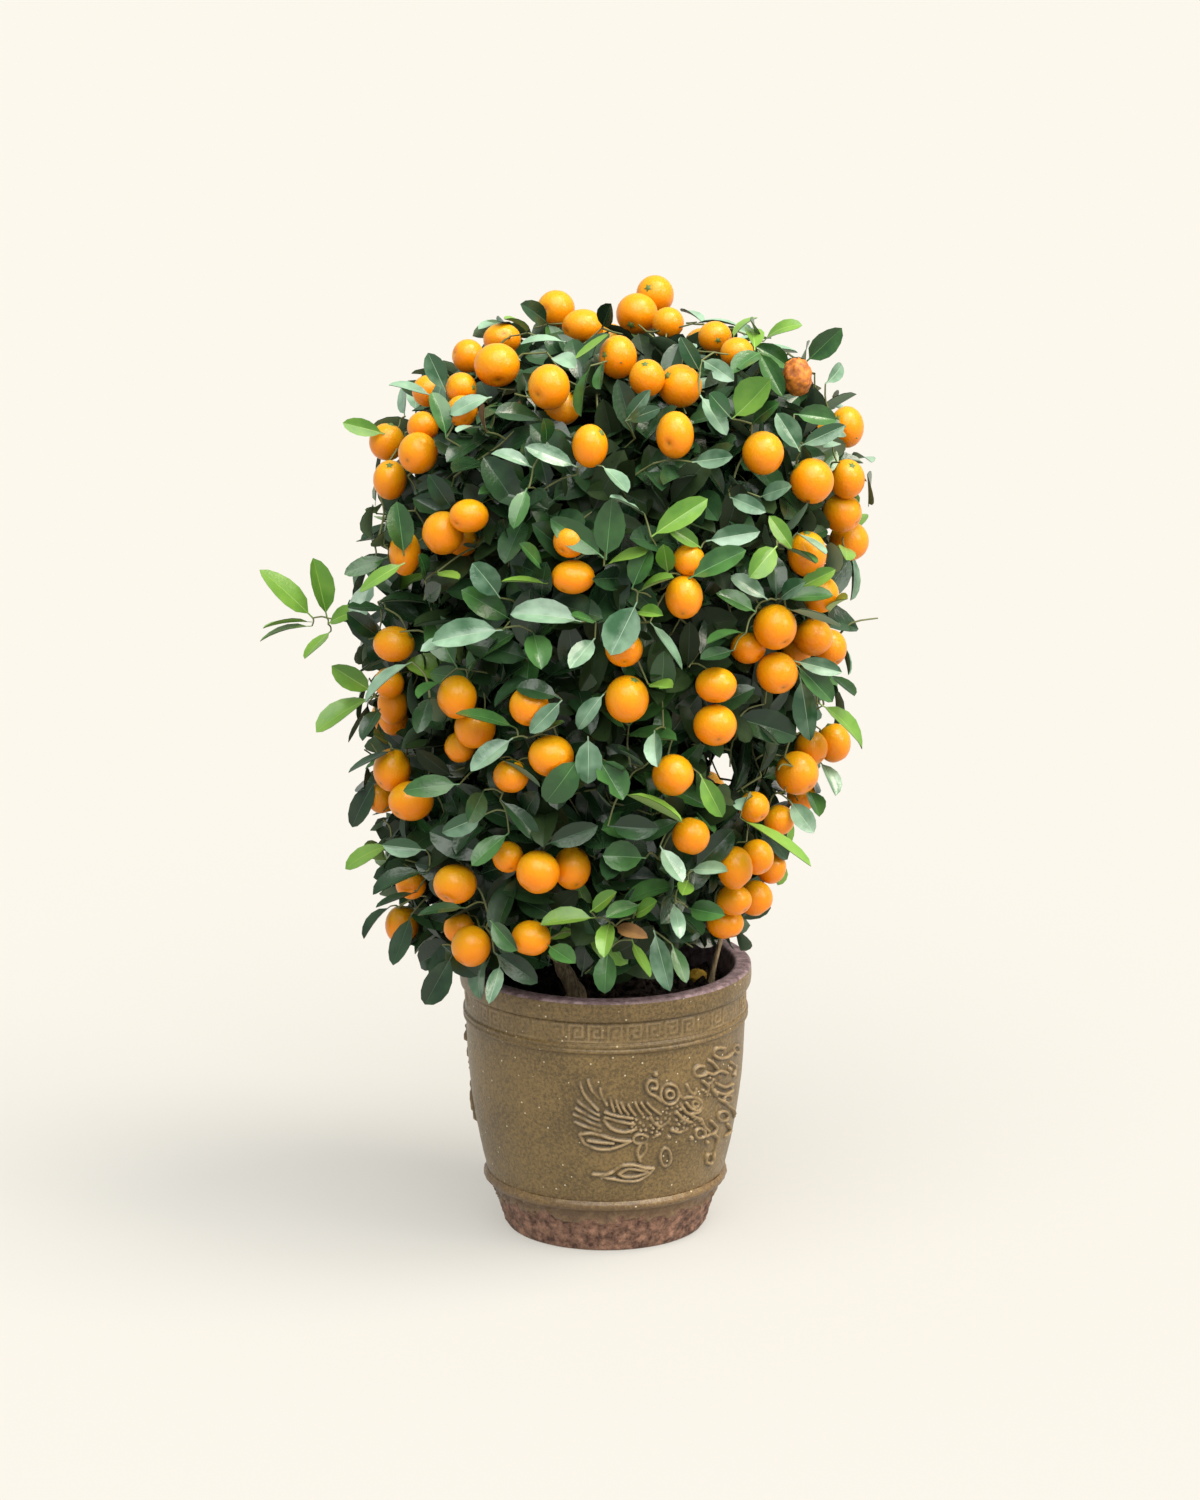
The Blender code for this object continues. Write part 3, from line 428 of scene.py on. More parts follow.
def ornament_strokes():
    """Every stroke, ring, bead and knob, as a dense line of points and a half-width."""
    strokes = []
    for lines, width in ((FAN, FAN_HALF_WIDTH), (SCROLLS, SCROLL_HALF_WIDTH)):
        for line in lines:
            strokes.append((smooth_line([onto_wall(*place) for place in line], STROKE_STEPS), width))
    for across, down, half_width, half_height in RINGS_OF_ORNAMENT:
        turns = [2.0 * math.pi * step / RING_STEPS for step in range(RING_STEPS + 1)]
        ring = [onto_wall(across + half_width * math.cos(t), down + half_height * math.sin(t)) for t in turns]
        strokes.append((ring, RING_HALF_WIDTH))
    strokes += [(dot(spot), BEAD_RADIUS) for spot in bead_spots()]
    strokes += [(dot(onto_wall(*knob)), KNOB_RADIUS) for knob in KNOBS]
    return strokes


ORNAMENT = ornament_strokes()
print("the ornament has", len(ORNAMENT), "strokes and beads")

# %% How high the wall rises near a stroke
# A low power makes a swell that is full on top and steep at its edge
SWELL_POWER = 1.3
FAR_AWAY = 1e9
TINY = 1e-9


def stroke_heights(across, up, strokes, rise):
    """How far the wall rises at each place, in millimetres, given places across and up in millimetres."""
    height = np.zeros(across.shape)
    for line, width in strokes:
        points = np.array([tuple(point) for point in line])
        low = points.min(axis=0) - width
        high = points.max(axis=0) + width
        near = (across > low[0]) & (across < high[0]) & (up > low[1]) & (up < high[1])
        if not near.any():
            continue
        spots = np.stack([across[near], up[near]], axis=-1)
        nearest = np.full(len(spots), FAR_AWAY)
        for start, end in zip(points, points[1:]):
            run = end - start
            share = np.clip(((spots - start) @ run) / max(run @ run, TINY), 0.0, 1.0)
            apart = spots - start - share[:, None] * run
            nearest = np.minimum(nearest, np.einsum("ij,ij->i", apart, apart))
        swell = np.sqrt(np.clip(1.0 - nearest / width**2, 0.0, 1.0)) ** SWELL_POWER
        height[near] = np.maximum(height[near], swell * rise * min(1.0, width / SCROLL_HALF_WIDTH))
    return height


# %% [markdown]
# ## The pot's wall, rim and foot
#
# A thrown or pressed pot is a surface of revolution, so each part of it is a grid: rows follow the
# profile, columns go round. Columns are close together only where there is ornament, and that keeps
# the mesh light. The wall, the rim with its frieze, and the foot are three pieces that meet in the
# pot's own grooves. The frieze is a plain square fret, raised as one worn line.

# %% Profiles and turned points
# A rounded corner takes at most this share of the straight runs beside it
CORNER_SHARE = 0.45


def rounded(profile, cut, steps):
    """A profile of radius and height pairs with each of its corners rounded off."""
    points = [Vector(pair) for pair in profile]
    line = [points[0]]
    for before, corner, after in zip(points, points[1:], points[2:]):
        shorter = min((before - corner).length, (after - corner).length)
        reach = min(cut, shorter * CORNER_SHARE)
        start = corner + (before - corner).normalized() * reach
        end = corner + (after - corner).normalized() * reach
        for step in range(steps + 1):
            share = step / steps
            line.append(start.lerp(corner, share).lerp(corner.lerp(end, share), share))
    line.append(points[-1])
    return line


def close_points(line, spacing):
    """The same line with points no further apart than the spacing."""
    dense = []
    for start, end in zip(line, line[1:]):
        steps = max(1, math.ceil((end - start).length / spacing))
        dense += [start.lerp(end, step / steps) for step in range(steps)]
    dense.append(line[-1])
    return dense


def turned_points(radii, heights, bearings):
    """The points of a turned surface; radii may differ from column to column."""
    radii = np.broadcast_to(radii, (len(heights), len(bearings)))
    cosines, sines = np.cos(bearings)[None, :], np.sin(bearings)[None, :]
    tall = np.broadcast_to(heights[:, None], radii.shape)
    return np.stack([radii * cosines, radii * sines, tall], axis=-1).reshape(-1, 3)


# %% Where the columns of the wall stand
# Apart from the bearings, these are millimetres round the wall, with the front's middle as zero
FRONT_DEGREES = -90.0
FRONT_BEARING = math.radians(FRONT_DEGREES)
ORNAMENT_LEFT, ORNAMENT_RIGHT = -36.0, 152.0
ORNAMENT_TURNS = (0.0, math.radians(197.0))
MID_WALL_RADIUS_MM = 112.0
FINE_STEP, COARSE_STEP = 0.80, 5.0
SEAM_BEARING = math.radians(FRONT_DEGREES - 62.7)
SEAM_HALF_WIDTH = 4.0


def wall_bearings():
    """Bearings round the wall: close together on the ornament and the mould's seams."""
    around = 2.0 * math.pi * MID_WALL_RADIUS_MM
    seam = (SEAM_BEARING - FRONT_BEARING) * MID_WALL_RADIUS_MM
    parts = ((ORNAMENT_LEFT, ORNAMENT_RIGHT), (seam - SEAM_HALF_WIDTH, seam + SEAM_HALF_WIDTH))
    fine = []
    for turn in ORNAMENT_TURNS:
        fine += [((left + around * turn / (2.0 * math.pi)) % around, right - left) for left, right in parts]
    place, places = 0.0, []
    while place < around:
        places.append(place)
        is_fine = any((place - start) % around < width or (start - place) % around < COARSE_STEP
                      for start, width in fine)
        place += FINE_STEP if is_fine else COARSE_STEP
    return FRONT_BEARING + np.array(places) / MID_WALL_RADIUS_MM


# %% The relief of the wall
# A seam is a shallow groove, left where the two halves of the mould met, that fades out at both ends
SEAM_GROOVE_MM = 1.1
SEAM_DEPTH = 0.0006
SEAM_FOOT, SEAM_FOOT_FADE = 0.074, 0.02
SEAM_TOP, SEAM_TOP_FADE = 0.172, 0.004
# The ornament runs on past the back of the pot, so bearings before its start count as a turn later
START_MARGIN = 0.3


def wrapped(angles):
    """Angles brought between minus half a turn and half a turn."""
    return (angles + math.pi) % (2.0 * math.pi) - math.pi


def seam_groove(bearings, heights, turn):
    """The depth of a seam over a grid of bearings and heights, in metres."""
    seam = wrapped(bearings - SEAM_BEARING - turn)
    groove = np.clip(1.0 - np.abs(seam * MID_WALL_RADIUS_MM) / SEAM_GROOVE_MM, 0.0, 1.0)
    from_foot = np.clip((heights - SEAM_FOOT) / SEAM_FOOT_FADE, 0.0, 1.0)
    from_top = np.clip((SEAM_TOP - heights) / SEAM_TOP_FADE, 0.0, 1.0)
    return SEAM_DEPTH * (from_foot * from_top)[:, None] * groove[None, :]


def wall_relief(bearings, heights):
    """The rise of the wall over a grid of bearings and heights, in metres, with the seams pressed in."""
    rise = np.zeros((len(heights), len(bearings)))
    radii = outer_wall(heights)
    for turn in ORNAMENT_TURNS:
        offset = wrapped(bearings - FRONT_BEARING - turn)
        is_before = offset < ORNAMENT_LEFT / MID_WALL_RADIUS_MM - START_MARGIN
        offset = np.where(is_before, offset + 2.0 * math.pi, offset)
        across = radii[:, None] / MM * offset[None, :]
        up = np.broadcast_to(heights[:, None] / MM, across.shape)
        rise = np.maximum(rise, stroke_heights(across, up, ORNAMENT, STROKE_RISE) * MM)
        rise -= seam_groove(bearings, heights, turn)
    return rise


# %% Uneven surfaces
# Each seed reads the noise at a place of its own
SEED_SHIFT = (3.1, 1.7, 2.3)


def unevenness(points, size, seed):
    """Smooth noise from -1 to 1 at each point, for features of about a given size in metres."""
    shift = Vector([seed * part for part in SEED_SHIFT])
    return np.array([noise.noise(Vector(point) / size + shift) for point in points])


def layered(points, layers):
    """Unevenness of several sizes added up; each layer is a size, a seed and an amount."""
    return sum(unevenness(points, size, seed) * amount for size, seed, amount in layers)


def wear(points, size, seed, swing, middle, least, most):
    """The share that is left of a raised line at each point, where the mould and the glaze dulled it."""
    return np.clip(unevenness(points, size, seed) * swing + middle, least, most)


def pushed_out(points, amounts):
    """Points moved level away from the pot's axis by the amounts."""
    moved = points.copy()
    spread = np.hypot(points[:, 0], points[:, 1])[:, None]
    moved[:, :2] += points[:, :2] / np.maximum(spread, TINY) * amounts[:, None]
    return moved


def mark_points(mesh, name, values):
    """Keep one number for each point of a mesh, which a material can read."""
    layer = mesh.attributes.new(name, "FLOAT", "POINT")
    layer.data.foreach_set("value", values.astype(np.float32).ravel())


# %% [markdown]
# ## The glaze and the bare clay
#
# The pot is stoneware under an ash glaze: olive brown where the glaze lies thick, paler where it
# broke thin over raised lines, dark beside them where it pooled, with painted shade there as well,
# and with iron specks and pale pinholes.
# A painted picture of it would fit this one pot from one side. So noise in the pot's own space gives
# the patches and the specks, and the mesh tells the material where its lines and hollows are, by
# numbers that its points carry. Bare clay shows at the lip, where the glaze was wiped off, and at the
# foot, where it stopped short.

# %% Glaze: its patterns
# Real specks and pinholes are under a millimetre across, and are drawn up to twice as large to show
GLAZE_PATCH_MM = 55.0
MOTTLE_MM = 2.4
SPECK_MM = 1.5
PINHOLE_SPACING_MM = 9.5

glaze, tree, shader = new_material(
    "ash_glazed_stoneware",
    {"Roughness": 0.44, "IOR": 1.5, "Coat Weight": 0.10, "Coat Roughness": 0.25},
)
place = add_node(tree, "ShaderNodeTexCoord").outputs["Object"]
patches, mottle, specks = (
    add_node(tree, "ShaderNodeTexNoise", {"Vector": place, "Scale": 1.0 / (size * MM), **grain})
    for size, grain in (
        (GLAZE_PATCH_MM, {"Detail": 3.0}),
        (MOTTLE_MM, {"Detail": 4.0, "Roughness": 0.65}),
        (SPECK_MM, {"Detail": 1.0}),
    )
)
pinholes = add_node(
    tree, "ShaderNodeTexVoronoi", {"Vector": place, "Scale": 1.0 / (PINHOLE_SPACING_MM * MM)}
)
print("the glaze has patches of", GLAZE_PATCH_MM, "mm and a mottle of", MOTTLE_MM, "mm")

# %% Glaze: thick and thin
# The broad patches, weakened, and the fine mottle are added up, and where they are high the glaze is thin
GLAZE_THICK = "#524121"
GLAZE_THIN = "#7B6439"
PATCH_SHARE = 0.45
THIN_FROM, THIN_TO = 0.54, 0.92

patchy_mottle = add_node(
    tree, "ShaderNodeMath", {0: patches.outputs["Fac"], 1: PATCH_SHARE, 2: mottle.outputs["Fac"]},
    operation="MULTIPLY_ADD",
)
thinness = add_node(
    tree, "ShaderNodeMapRange",
    {"Value": patchy_mottle.outputs[0], "From Min": THIN_FROM, "From Max": THIN_TO},
    interpolation_type="SMOOTHSTEP",
)
body_colour = add_node(
    tree, "ShaderNodeMix",
    {MIX_SHARE: thinness.outputs[0], MIX_FIRST: linear(GLAZE_THICK), MIX_SECOND: linear(GLAZE_THIN)},
    data_type="RGBA",
)
print("the glaze goes from", GLAZE_THICK, "to", GLAZE_THIN)

# %% Glaze: where each of its other colours shows
# The clay's red comes through near the foot, from one height down to the next, in an uneven line.
# A pinhole's radius is a share of the spacing, from where its rim starts to where it is palest
FOOT_TONE_FROM, FOOT_TONE_TO = 0.070, 0.046
FOOT_TONE_SWAY = 0.030
FOOT_TONE_MOST = 0.85
SPECK_FROM, SPECK_TO, SPECK_MOST = 0.60, 0.74, 0.55
PINHOLE_RIM, PINHOLE_HEART, PINHOLE_MOST = 0.095, 0.055, 0.75

height_up = add_node(tree, "ShaderNodeSeparateXYZ", {0: place})
uneven_height = add_node(
    tree, "ShaderNodeMath",
    {0: mottle.outputs["Fac"], 1: FOOT_TONE_SWAY, 2: height_up.outputs["Z"]}, operation="MULTIPLY_ADD",
)
near_foot, on_speck, in_pinhole = (
    add_node(tree, "ShaderNodeMapRange", {"Value": value, "From Min": start, "From Max": end, "To Max": most})
    for value, start, end, most in (
        (uneven_height.outputs[0], FOOT_TONE_FROM, FOOT_TONE_TO, FOOT_TONE_MOST),
        (specks.outputs["Fac"], SPECK_FROM, SPECK_TO, SPECK_MOST),
        (pinholes.outputs["Distance"], PINHOLE_RIM, PINHOLE_HEART, PINHOLE_MOST),
    )
)
on_line = add_node(tree, "ShaderNodeAttribute", attribute_name="relief")
# Dark glaze pooled beside the raised lines, with painted shade in the same hollows
hollow_pool_and_shade = add_node(tree, "ShaderNodeAttribute", attribute_name="pool")
print("the clay's red starts to show", FOOT_TONE_FROM, "m above the ground")

# %% Glaze: its colours one over another
glaze_layers = (
    (near_foot.outputs[0], "#5E432D"),
    (on_line.outputs["Fac"], "#9C8560"),
    # Pooled glaze and painted shade in the hollows
    (hollow_pool_and_shade.outputs["Fac"], "#342A1A"),
    (on_speck.outputs[0], "#2F2417"),
    (in_pinhole.outputs[0], "#DCCFAE"),
)

colour = body_colour
for share, shade in glaze_layers:
    colour = add_node(
        tree, "ShaderNodeMix",
        {MIX_SHARE: share, MIX_FIRST: colour.outputs[MIX_RESULT], MIX_SECOND: linear(shade)},
        data_type="RGBA",
    )
tree.links.new(colour.outputs[MIX_RESULT], shader.inputs["Base Color"])
bump = add_node(
    tree, "ShaderNodeBump", {"Height": mottle.outputs["Fac"], "Strength": 0.55, "Distance": 0.0007}
)
tree.links.new(bump.outputs["Normal"], shader.inputs["Normal"])
print(len(glaze_layers), "colours lie over the glaze's own")

# %% Materials that drift between two colours
def two_tone(name, surface, colours, grain_mm, grain, limits, bumps=None, stretch=(1.0, 1.0, 1.0)):
    """A material that drifts between two colours by a noise, which can also raise its surface."""
    material, tree, shader = new_material(name, surface)
    place = add_node(tree, "ShaderNodeTexCoord").outputs["Object"]
    stretched = add_node(tree, "ShaderNodeMapping", {"Vector": place, "Scale": stretch})
    pattern = add_node(
        tree, "ShaderNodeTexNoise", {"Vector": stretched.outputs[0], "Scale": 1.0 / (grain_mm * MM), **grain}
    )
    share = add_node(
        tree, "ShaderNodeMapRange",
        {"Value": pattern.outputs["Fac"], "From Min": limits[0], "From Max": limits[1]},
    )
    colour = add_node(
        tree, "ShaderNodeMix",
        {MIX_SHARE: share.outputs[0], MIX_FIRST: linear(colours[0]), MIX_SECOND: linear(colours[1])},
        data_type="RGBA",
    )
    tree.links.new(colour.outputs[MIX_RESULT], shader.inputs["Base Color"])
    if bumps:
        bump = add_node(tree, "ShaderNodeBump", {"Height": pattern.outputs["Fac"], **bumps})
        tree.links.new(bump.outputs["Normal"], shader.inputs["Normal"])
    print(name, "drifts from", colours[0], "to", colours[1])
    return material


# %% Bare stoneware of the lip and the foot
# Fired clay is dry and rough: broad patches of purple brown, a coarse bump and no shine
BARE_COLOURS = {"lip": ("#5A4749", "#9E888B"), "foot": ("#3E2418", "#96705A")}
BARE_PATCH_MM = 8.0
BARE_LIMITS = (0.38, 0.64)

bare_clays = {}
for part, colours in BARE_COLOURS.items():
    bare_clays[part] = two_tone(
        f"bare_stoneware_{part}", {"Roughness": 0.72, "IOR": 1.5}, colours, BARE_PATCH_MM,
        {"Detail": 6.0, "Roughness": 0.7}, BARE_LIMITS, {"Strength": 0.7, "Distance": 0.0015},
    )

# %% The wall with its ornament
# The mesh's rows are this many millimetres apart. Each dent is a size, a seed and a depth
WALL_ROW_MM = 0.80
WALL_TOP, WALL_FOOT = 0.1785, 0.046
WALL_DENTS = ((0.045, 1, 0.0006), (0.011, 13, 0.0003))
ORNAMENT_WEAR = {"size": 0.010, "seed": 12, "swing": 1.1, "middle": 0.92, "least": 0.45, "most": 1.1}
LINE_GAIN, LINE_START, LINE_MOST = 1.2, 0.3, 0.6
# Beside raised lines the glaze is darker, for pooled glaze and for painted shade
POOL_AND_SHADE_SPREAD = 3
POOL_AND_SHADE_DEPTH = 0.0016


def pooled_glaze_and_shade(rise):
    """How much glaze pooled, with painted shade, at each place: most in the hollows beside raised lines."""
    spread = np.maximum(rise, 0.0)
    for axis in (0, 1):
        shifts = range(-POOL_AND_SHADE_SPREAD, POOL_AND_SHADE_SPREAD + 1)
        spread = sum(np.roll(spread, shift, axis=axis) for shift in shifts) / len(shifts)
    return np.clip((spread - np.maximum(rise, 0.0)) / POOL_AND_SHADE_DEPTH, 0.0, 1.0)


bearings = wall_bearings()
heights = np.linspace(WALL_TOP, WALL_FOOT, int((WALL_TOP - WALL_FOOT) / (WALL_ROW_MM * MM)))
rise = wall_relief(bearings, heights)
points = turned_points(outer_wall(heights)[:, None], heights, bearings)
rise *= wear(points, **ORNAMENT_WEAR).reshape(rise.shape)
points = pushed_out(points, rise.ravel() + layered(points, WALL_DENTS))
wall_heap = Heap()
wall_heap.add_quads(points, grid_corners(len(heights), len(bearings), True)[::-1])
wall_mesh = wall_heap.mesh("pot_wall")
line_share = rise / (STROKE_RISE * MM) * LINE_GAIN - LINE_START
mark_points(wall_mesh, "relief", np.clip(line_share, 0.0, LINE_MOST))
# Pooled glaze and painted shade beside the raised lines
mark_points(wall_mesh, "pool", pooled_glaze_and_shade(rise))
add_piece("pot_wall", wall_mesh, [glaze], ["pot"])

# %% The fret of the frieze
# One unit of the fret, as shares of its width and of the frieze's height; widths and rise in millimetres
FRET_COUNT = 46
FRET_LINE = 1.10
FRET_RISE = 1.5
FRET_PATH = (
    (0.02, 0.12), (0.14, 0.12), (0.14, 0.88), (0.82, 0.88),
    (0.82, 0.34), (0.42, 0.34), (0.42, 0.62), (0.60, 0.62),
)
FRET_BASE = ((0.14, 0.12), (1.02, 0.12))


def fret_relief(bearings, heights):
    """The raised line of the frieze, in metres."""
    unit = 2.0 * math.pi * FRIEZE_RADIUS / MM / FRET_COUNT
    tall = (FRIEZE_TOP - RIDGE_TOP) / MM
    across = ((bearings - FRONT_BEARING) % (2.0 * math.pi)) * FRIEZE_RADIUS / MM
    across = np.broadcast_to(across[None, :] % unit, (len(heights), len(bearings)))
    up = np.broadcast_to((heights[:, None] - RIDGE_TOP) / MM, across.shape)
    lines = [[Vector((x * unit, y * tall)) for x, y in path] for path in (FRET_PATH, FRET_BASE)]
    return stroke_heights(across, up, [(line, FRET_LINE) for line in lines], FRET_RISE) * MM


# %% The profile of the rim
# Radius and height of each corner, from inside the lip, over it and down to the body
RIM_ROUND = 0.0030
ROUND_STEPS = 3
RIM_SPACING = 0.0011
RIM_COLUMNS = 720

rim_line = rounded(
    [
        (LIP_RADIUS - LIP_WIDTH - 0.0015, SOIL_TOP - 0.012),
        (LIP_RADIUS - LIP_WIDTH, POT_HEIGHT),
        (LIP_RADIUS, POT_HEIGHT),
        (LIP_RADIUS + 0.0004, POT_HEIGHT - LIP_DEPTH * 0.6),
        (LIP_RADIUS - 0.0006, POT_HEIGHT - LIP_DEPTH),
        (FRIEZE_RADIUS - 0.0006, POT_HEIGHT - LIP_DEPTH - 0.0012),
        (FRIEZE_RADIUS, FRIEZE_TOP - 0.0005),
        (FRIEZE_RADIUS, RIDGE_TOP + 0.0004),
        (RIDGE_RADIUS, RIDGE_TOP - 0.0008),
        (RIDGE_RADIUS, RIDGE_TOP - 0.0026),
        (RIDGE_RADIUS - 0.0012, RIDGE_TOP - 0.0040),
        (RIDGE_RADIUS - 0.0002, RIDGE_BOTTOM + 0.0026),
        (RIDGE_RADIUS - 0.0002, RIDGE_BOTTOM + 0.0008),
        (BODY_TOP_RADIUS - 0.0008, RIDGE_BOTTOM - 0.0012),
    ],
    RIM_ROUND, ROUND_STEPS,
)
rim_line = close_points(rim_line, RIM_SPACING)
print("the rim's profile has", len(rim_line), "points")

# %% The rim, the frieze and the ridge
FRET_WEAR = {"size": 0.030, "seed": 2, "swing": 1.6, "middle": 0.62, "least": 0.15, "most": 1.0}
RIM_DENTS = ((0.020, 3, 0.0004),)
FRIEZE_MARGIN = 0.001
BARE_DEPTH = 0.0016
FRET_GAIN, FRET_MOST = 0.9, 0.8

bearings = np.linspace(0.0, 2.0 * math.pi, RIM_COLUMNS, endpoint=False)
radii = np.array([point.x for point in rim_line])
heights = np.array([point.y for point in rim_line])
on_frieze = (heights < FRIEZE_TOP) & (heights > RIDGE_TOP) & (radii > FRIEZE_RADIUS - FRIEZE_MARGIN)
rise = fret_relief(bearings, heights) * on_frieze[:, None]
points = turned_points(radii[:, None] + rise, heights, bearings)
fret_left = wear(points, **FRET_WEAR)
points = pushed_out(points, (fret_left - 1.0) * rise.ravel() + layered(points, RIM_DENTS))
# The clay is bare on the lip's top and inside it
is_lip = (heights[:-1] > POT_HEIGHT - BARE_DEPTH) | (np.arange(len(rim_line) - 1) < np.argmax(heights))
rim_heap = Heap()
corners = grid_corners(len(rim_line), RIM_COLUMNS, True)
rim_heap.add_quads(points, corners[::-1], np.repeat(is_lip, RIM_COLUMNS)[::-1])
rim_mesh = rim_heap.mesh("pot_rim")
line_share = rise.ravel() / (FRET_RISE * MM) * fret_left * FRET_GAIN
mark_points(rim_mesh, "relief", np.clip(line_share, 0.0, FRET_MOST))
add_piece("pot_rim", rim_mesh, [glaze, bare_clays["lip"]])

# %% The profile of the foot
FOOT_ROUND = 0.0022
FOOT_SPACING = 0.0016
FOOT_COLUMNS = 420
FOOT_START = 0.048
UNDERSIDE = 0.0015
# The underside's inner rows are left to one fan of faces, since it is flat
FAN_ROWS = 30

foot_line = rounded(
    [
        (float(outer_wall(FOOT_START)) - 0.0004, FOOT_START),
        (BODY_BOTTOM_RADIUS + 0.0028, 0.0452),
        (BODY_BOTTOM_RADIUS + 0.0024, 0.0412),
        (FOOT_RIDGE_RADIUS - 0.0006, FOOT_RIDGE_TOP - 0.0008),
        (FOOT_RADIUS + 0.0006, FOOT_TOP),
        (BASE_RADIUS + 0.0022, 0.0060),
        (BASE_RADIUS, 0.0),
        (BASE_RADIUS - 0.006, 0.0),
        (BASE_RADIUS - 0.009, UNDERSIDE),
        (0.0, UNDERSIDE),
    ],
    FOOT_ROUND, ROUND_STEPS,
)
foot_line = close_points(foot_line, FOOT_SPACING)[:-FAN_ROWS]
print("the foot's profile has", len(foot_line), "points")

# %% The foot, with the glaze's drips
# The glaze ran down and stopped in a row of thick drips just above the foot. Their lower line sways by
# two sizes of noise, of which the first is drawn out downward, and the bare clay below it is lumpy
DRIP_LINE = 0.029
DRIP_DRAW = (1.0, 1.0, 0.25)
DRIP_SWAY = ((0.013, 4, 0.010),)
DRIP_RAGGED = ((0.0045, 14, 0.006),)
DRIP_THICK = 0.0014
DRIP_EDGE = 0.0018
BEAD_UP, BEAD_SIZE = 0.0016, 0.0022
GLAZE_SHARE = 0.5
CLAY_LUMPS = ((0.009, 5, 0.0018), (0.0035, 15, 0.0008))
SMOOTHED_SHARE = 0.6
FLAT_FOOT = 0.004
DRIP_LINE_SHARE = 0.25

bearings = np.linspace(0.0, 2.0 * math.pi, FOOT_COLUMNS, endpoint=False)
radii = np.array([point.x for point in foot_line])
heights = np.array([point.y for point in foot_line])
points = turned_points(np.repeat(radii[:, None], FOOT_COLUMNS, axis=1), heights, bearings)
drips = DRIP_LINE + layered(points * DRIP_DRAW, DRIP_SWAY) + layered(points, DRIP_RAGGED)
above = np.clip((points[:, 2] - drips) / DRIP_EDGE, 0.0, 1.0)
bead = np.exp(-((points[:, 2] - drips - BEAD_UP) / BEAD_SIZE) ** 2)
rough = layered(points, CLAY_LUMPS) * (1.0 - above * SMOOTHED_SHARE)
outside = np.clip(points[:, 2] / FLAT_FOOT, 0.0, 1.0)
points = pushed_out(points, ((above * GLAZE_SHARE + bead) * DRIP_THICK + rough) * outside)
is_bare = above.reshape(len(foot_line), FOOT_COLUMNS)[:-1].ravel() < 0.5
foot_heap = Heap()
foot_heap.add_quads(points, grid_corners(len(foot_line), FOOT_COLUMNS, True)[::-1], is_bare[::-1])
# A fan of thin faces closes the flat underside
ring = points[-FOOT_COLUMNS:]
fan = [(index, FOOT_COLUMNS, (index + 1) % FOOT_COLUMNS) for index in range(FOOT_COLUMNS)]
sizes, slots = np.full(FOOT_COLUMNS, 3), np.ones(FOOT_COLUMNS)
foot_heap.add(np.vstack([ring, ring.mean(axis=0)]), np.ravel(fan), sizes, slots)
foot_mesh = foot_heap.mesh("pot_foot")
mark_points(foot_mesh, "relief", np.append(bead * DRIP_LINE_SHARE, np.zeros(FOOT_COLUMNS + 1)))
add_piece("pot_foot", foot_mesh, [glaze, bare_clays["foot"]])

# %% [markdown]
# ## The soil
#
# Potting mix is dark, damp and crumbly. A flat disc would show at once, so the surface is a grid
# pushed up and down by noise, with some hundred chips of bark and grit strewn over it.
# The chips are small balls squeezed and dented each in its own way.

# %% Potting mix
SOIL_COLOURS = ("#16100C", "#46362A")
CRUMB_MM = 3.0
SOIL_LIMITS = (0.42, 0.72)

soil_mix = two_tone(
    "damp_potting_mix", {"Roughness": 0.9, "Specular IOR Level": 0.3}, SOIL_COLOURS, CRUMB_MM,
    {"Detail": 6.0, "Roughness": 0.75}, SOIL_LIMITS, {"Strength": 1.0, "Distance": 0.003},
)

# %% Balls and turns
# A ball's first and last rows stand this far from its poles, in radians
POLE_GAP = 0.02


def ball(columns, rows):
    """The unit directions and the face corners of a ball, pole to pole along Z."""
    polar = np.linspace(POLE_GAP, math.pi - POLE_GAP, rows)
    turn = np.linspace(0.0, 2.0 * math.pi, columns, endpoint=False)
    polar, turn = np.meshgrid(polar, turn, indexing="ij")
    points = np.stack([np.sin(polar) * np.cos(turn), np.sin(polar) * np.sin(turn), np.cos(polar)], axis=-1)
    return points.reshape(-1, 3), grid_corners(rows, columns, True)[::-1]


def turn_matrix(dice):
    """A turn to any direction, as rows of a rotation matrix."""
    turns = [Matrix.Rotation(dice.uniform(0.0, 2.0 * math.pi), 3, axis) for axis in "XYZ"]
    return np.array(turns[0] @ turns[1] @ turns[2])


# %% The soil's surface
SOIL_RADIUS = LIP_RADIUS - LIP_WIDTH - 0.0002
SOIL_HEART = 0.0005
SOIL_RINGS, SOIL_COLUMNS = 44, 120
SOIL_LUMPS = ((0.030, 6, 0.004), (0.008, 7, 0.0025))
SOIL_SETTLING = 0.002

radii = np.linspace(SOIL_HEART, SOIL_RADIUS, SOIL_RINGS)
bearings = np.linspace(0.0, 2.0 * math.pi, SOIL_COLUMNS, endpoint=False)
radii = np.repeat(radii[:, None], SOIL_COLUMNS, axis=1)
points = turned_points(radii, np.full(SOIL_RINGS, SOIL_TOP), bearings)
points[:, 2] += layered(points, SOIL_LUMPS) - SOIL_SETTLING
soil_heap = Heap()
soil_heap.add_quads(points, grid_corners(SOIL_RINGS, SOIL_COLUMNS, True))
print("the soil's surface rises and falls by", round(float(np.ptp(points[:, 2])) / MM, 1), "mm")

# %% Chips of bark and grit
# A chip is stretched, flattened and dented by chance, and sits a little above the soil's level
CHIPS = 420
CHIP_SEED = 11
CHIP_COLUMNS, CHIP_ROWS = 7, 5
CHIP_SIZES = (0.0015, 0.0048)
CHIP_STRETCH = ((0.8, 2.0), (0.6, 1.1), (0.35, 0.8))
CHIP_DENT = 0.22
CHIP_LIFT = 0.2
CHIP_REACH = 0.96

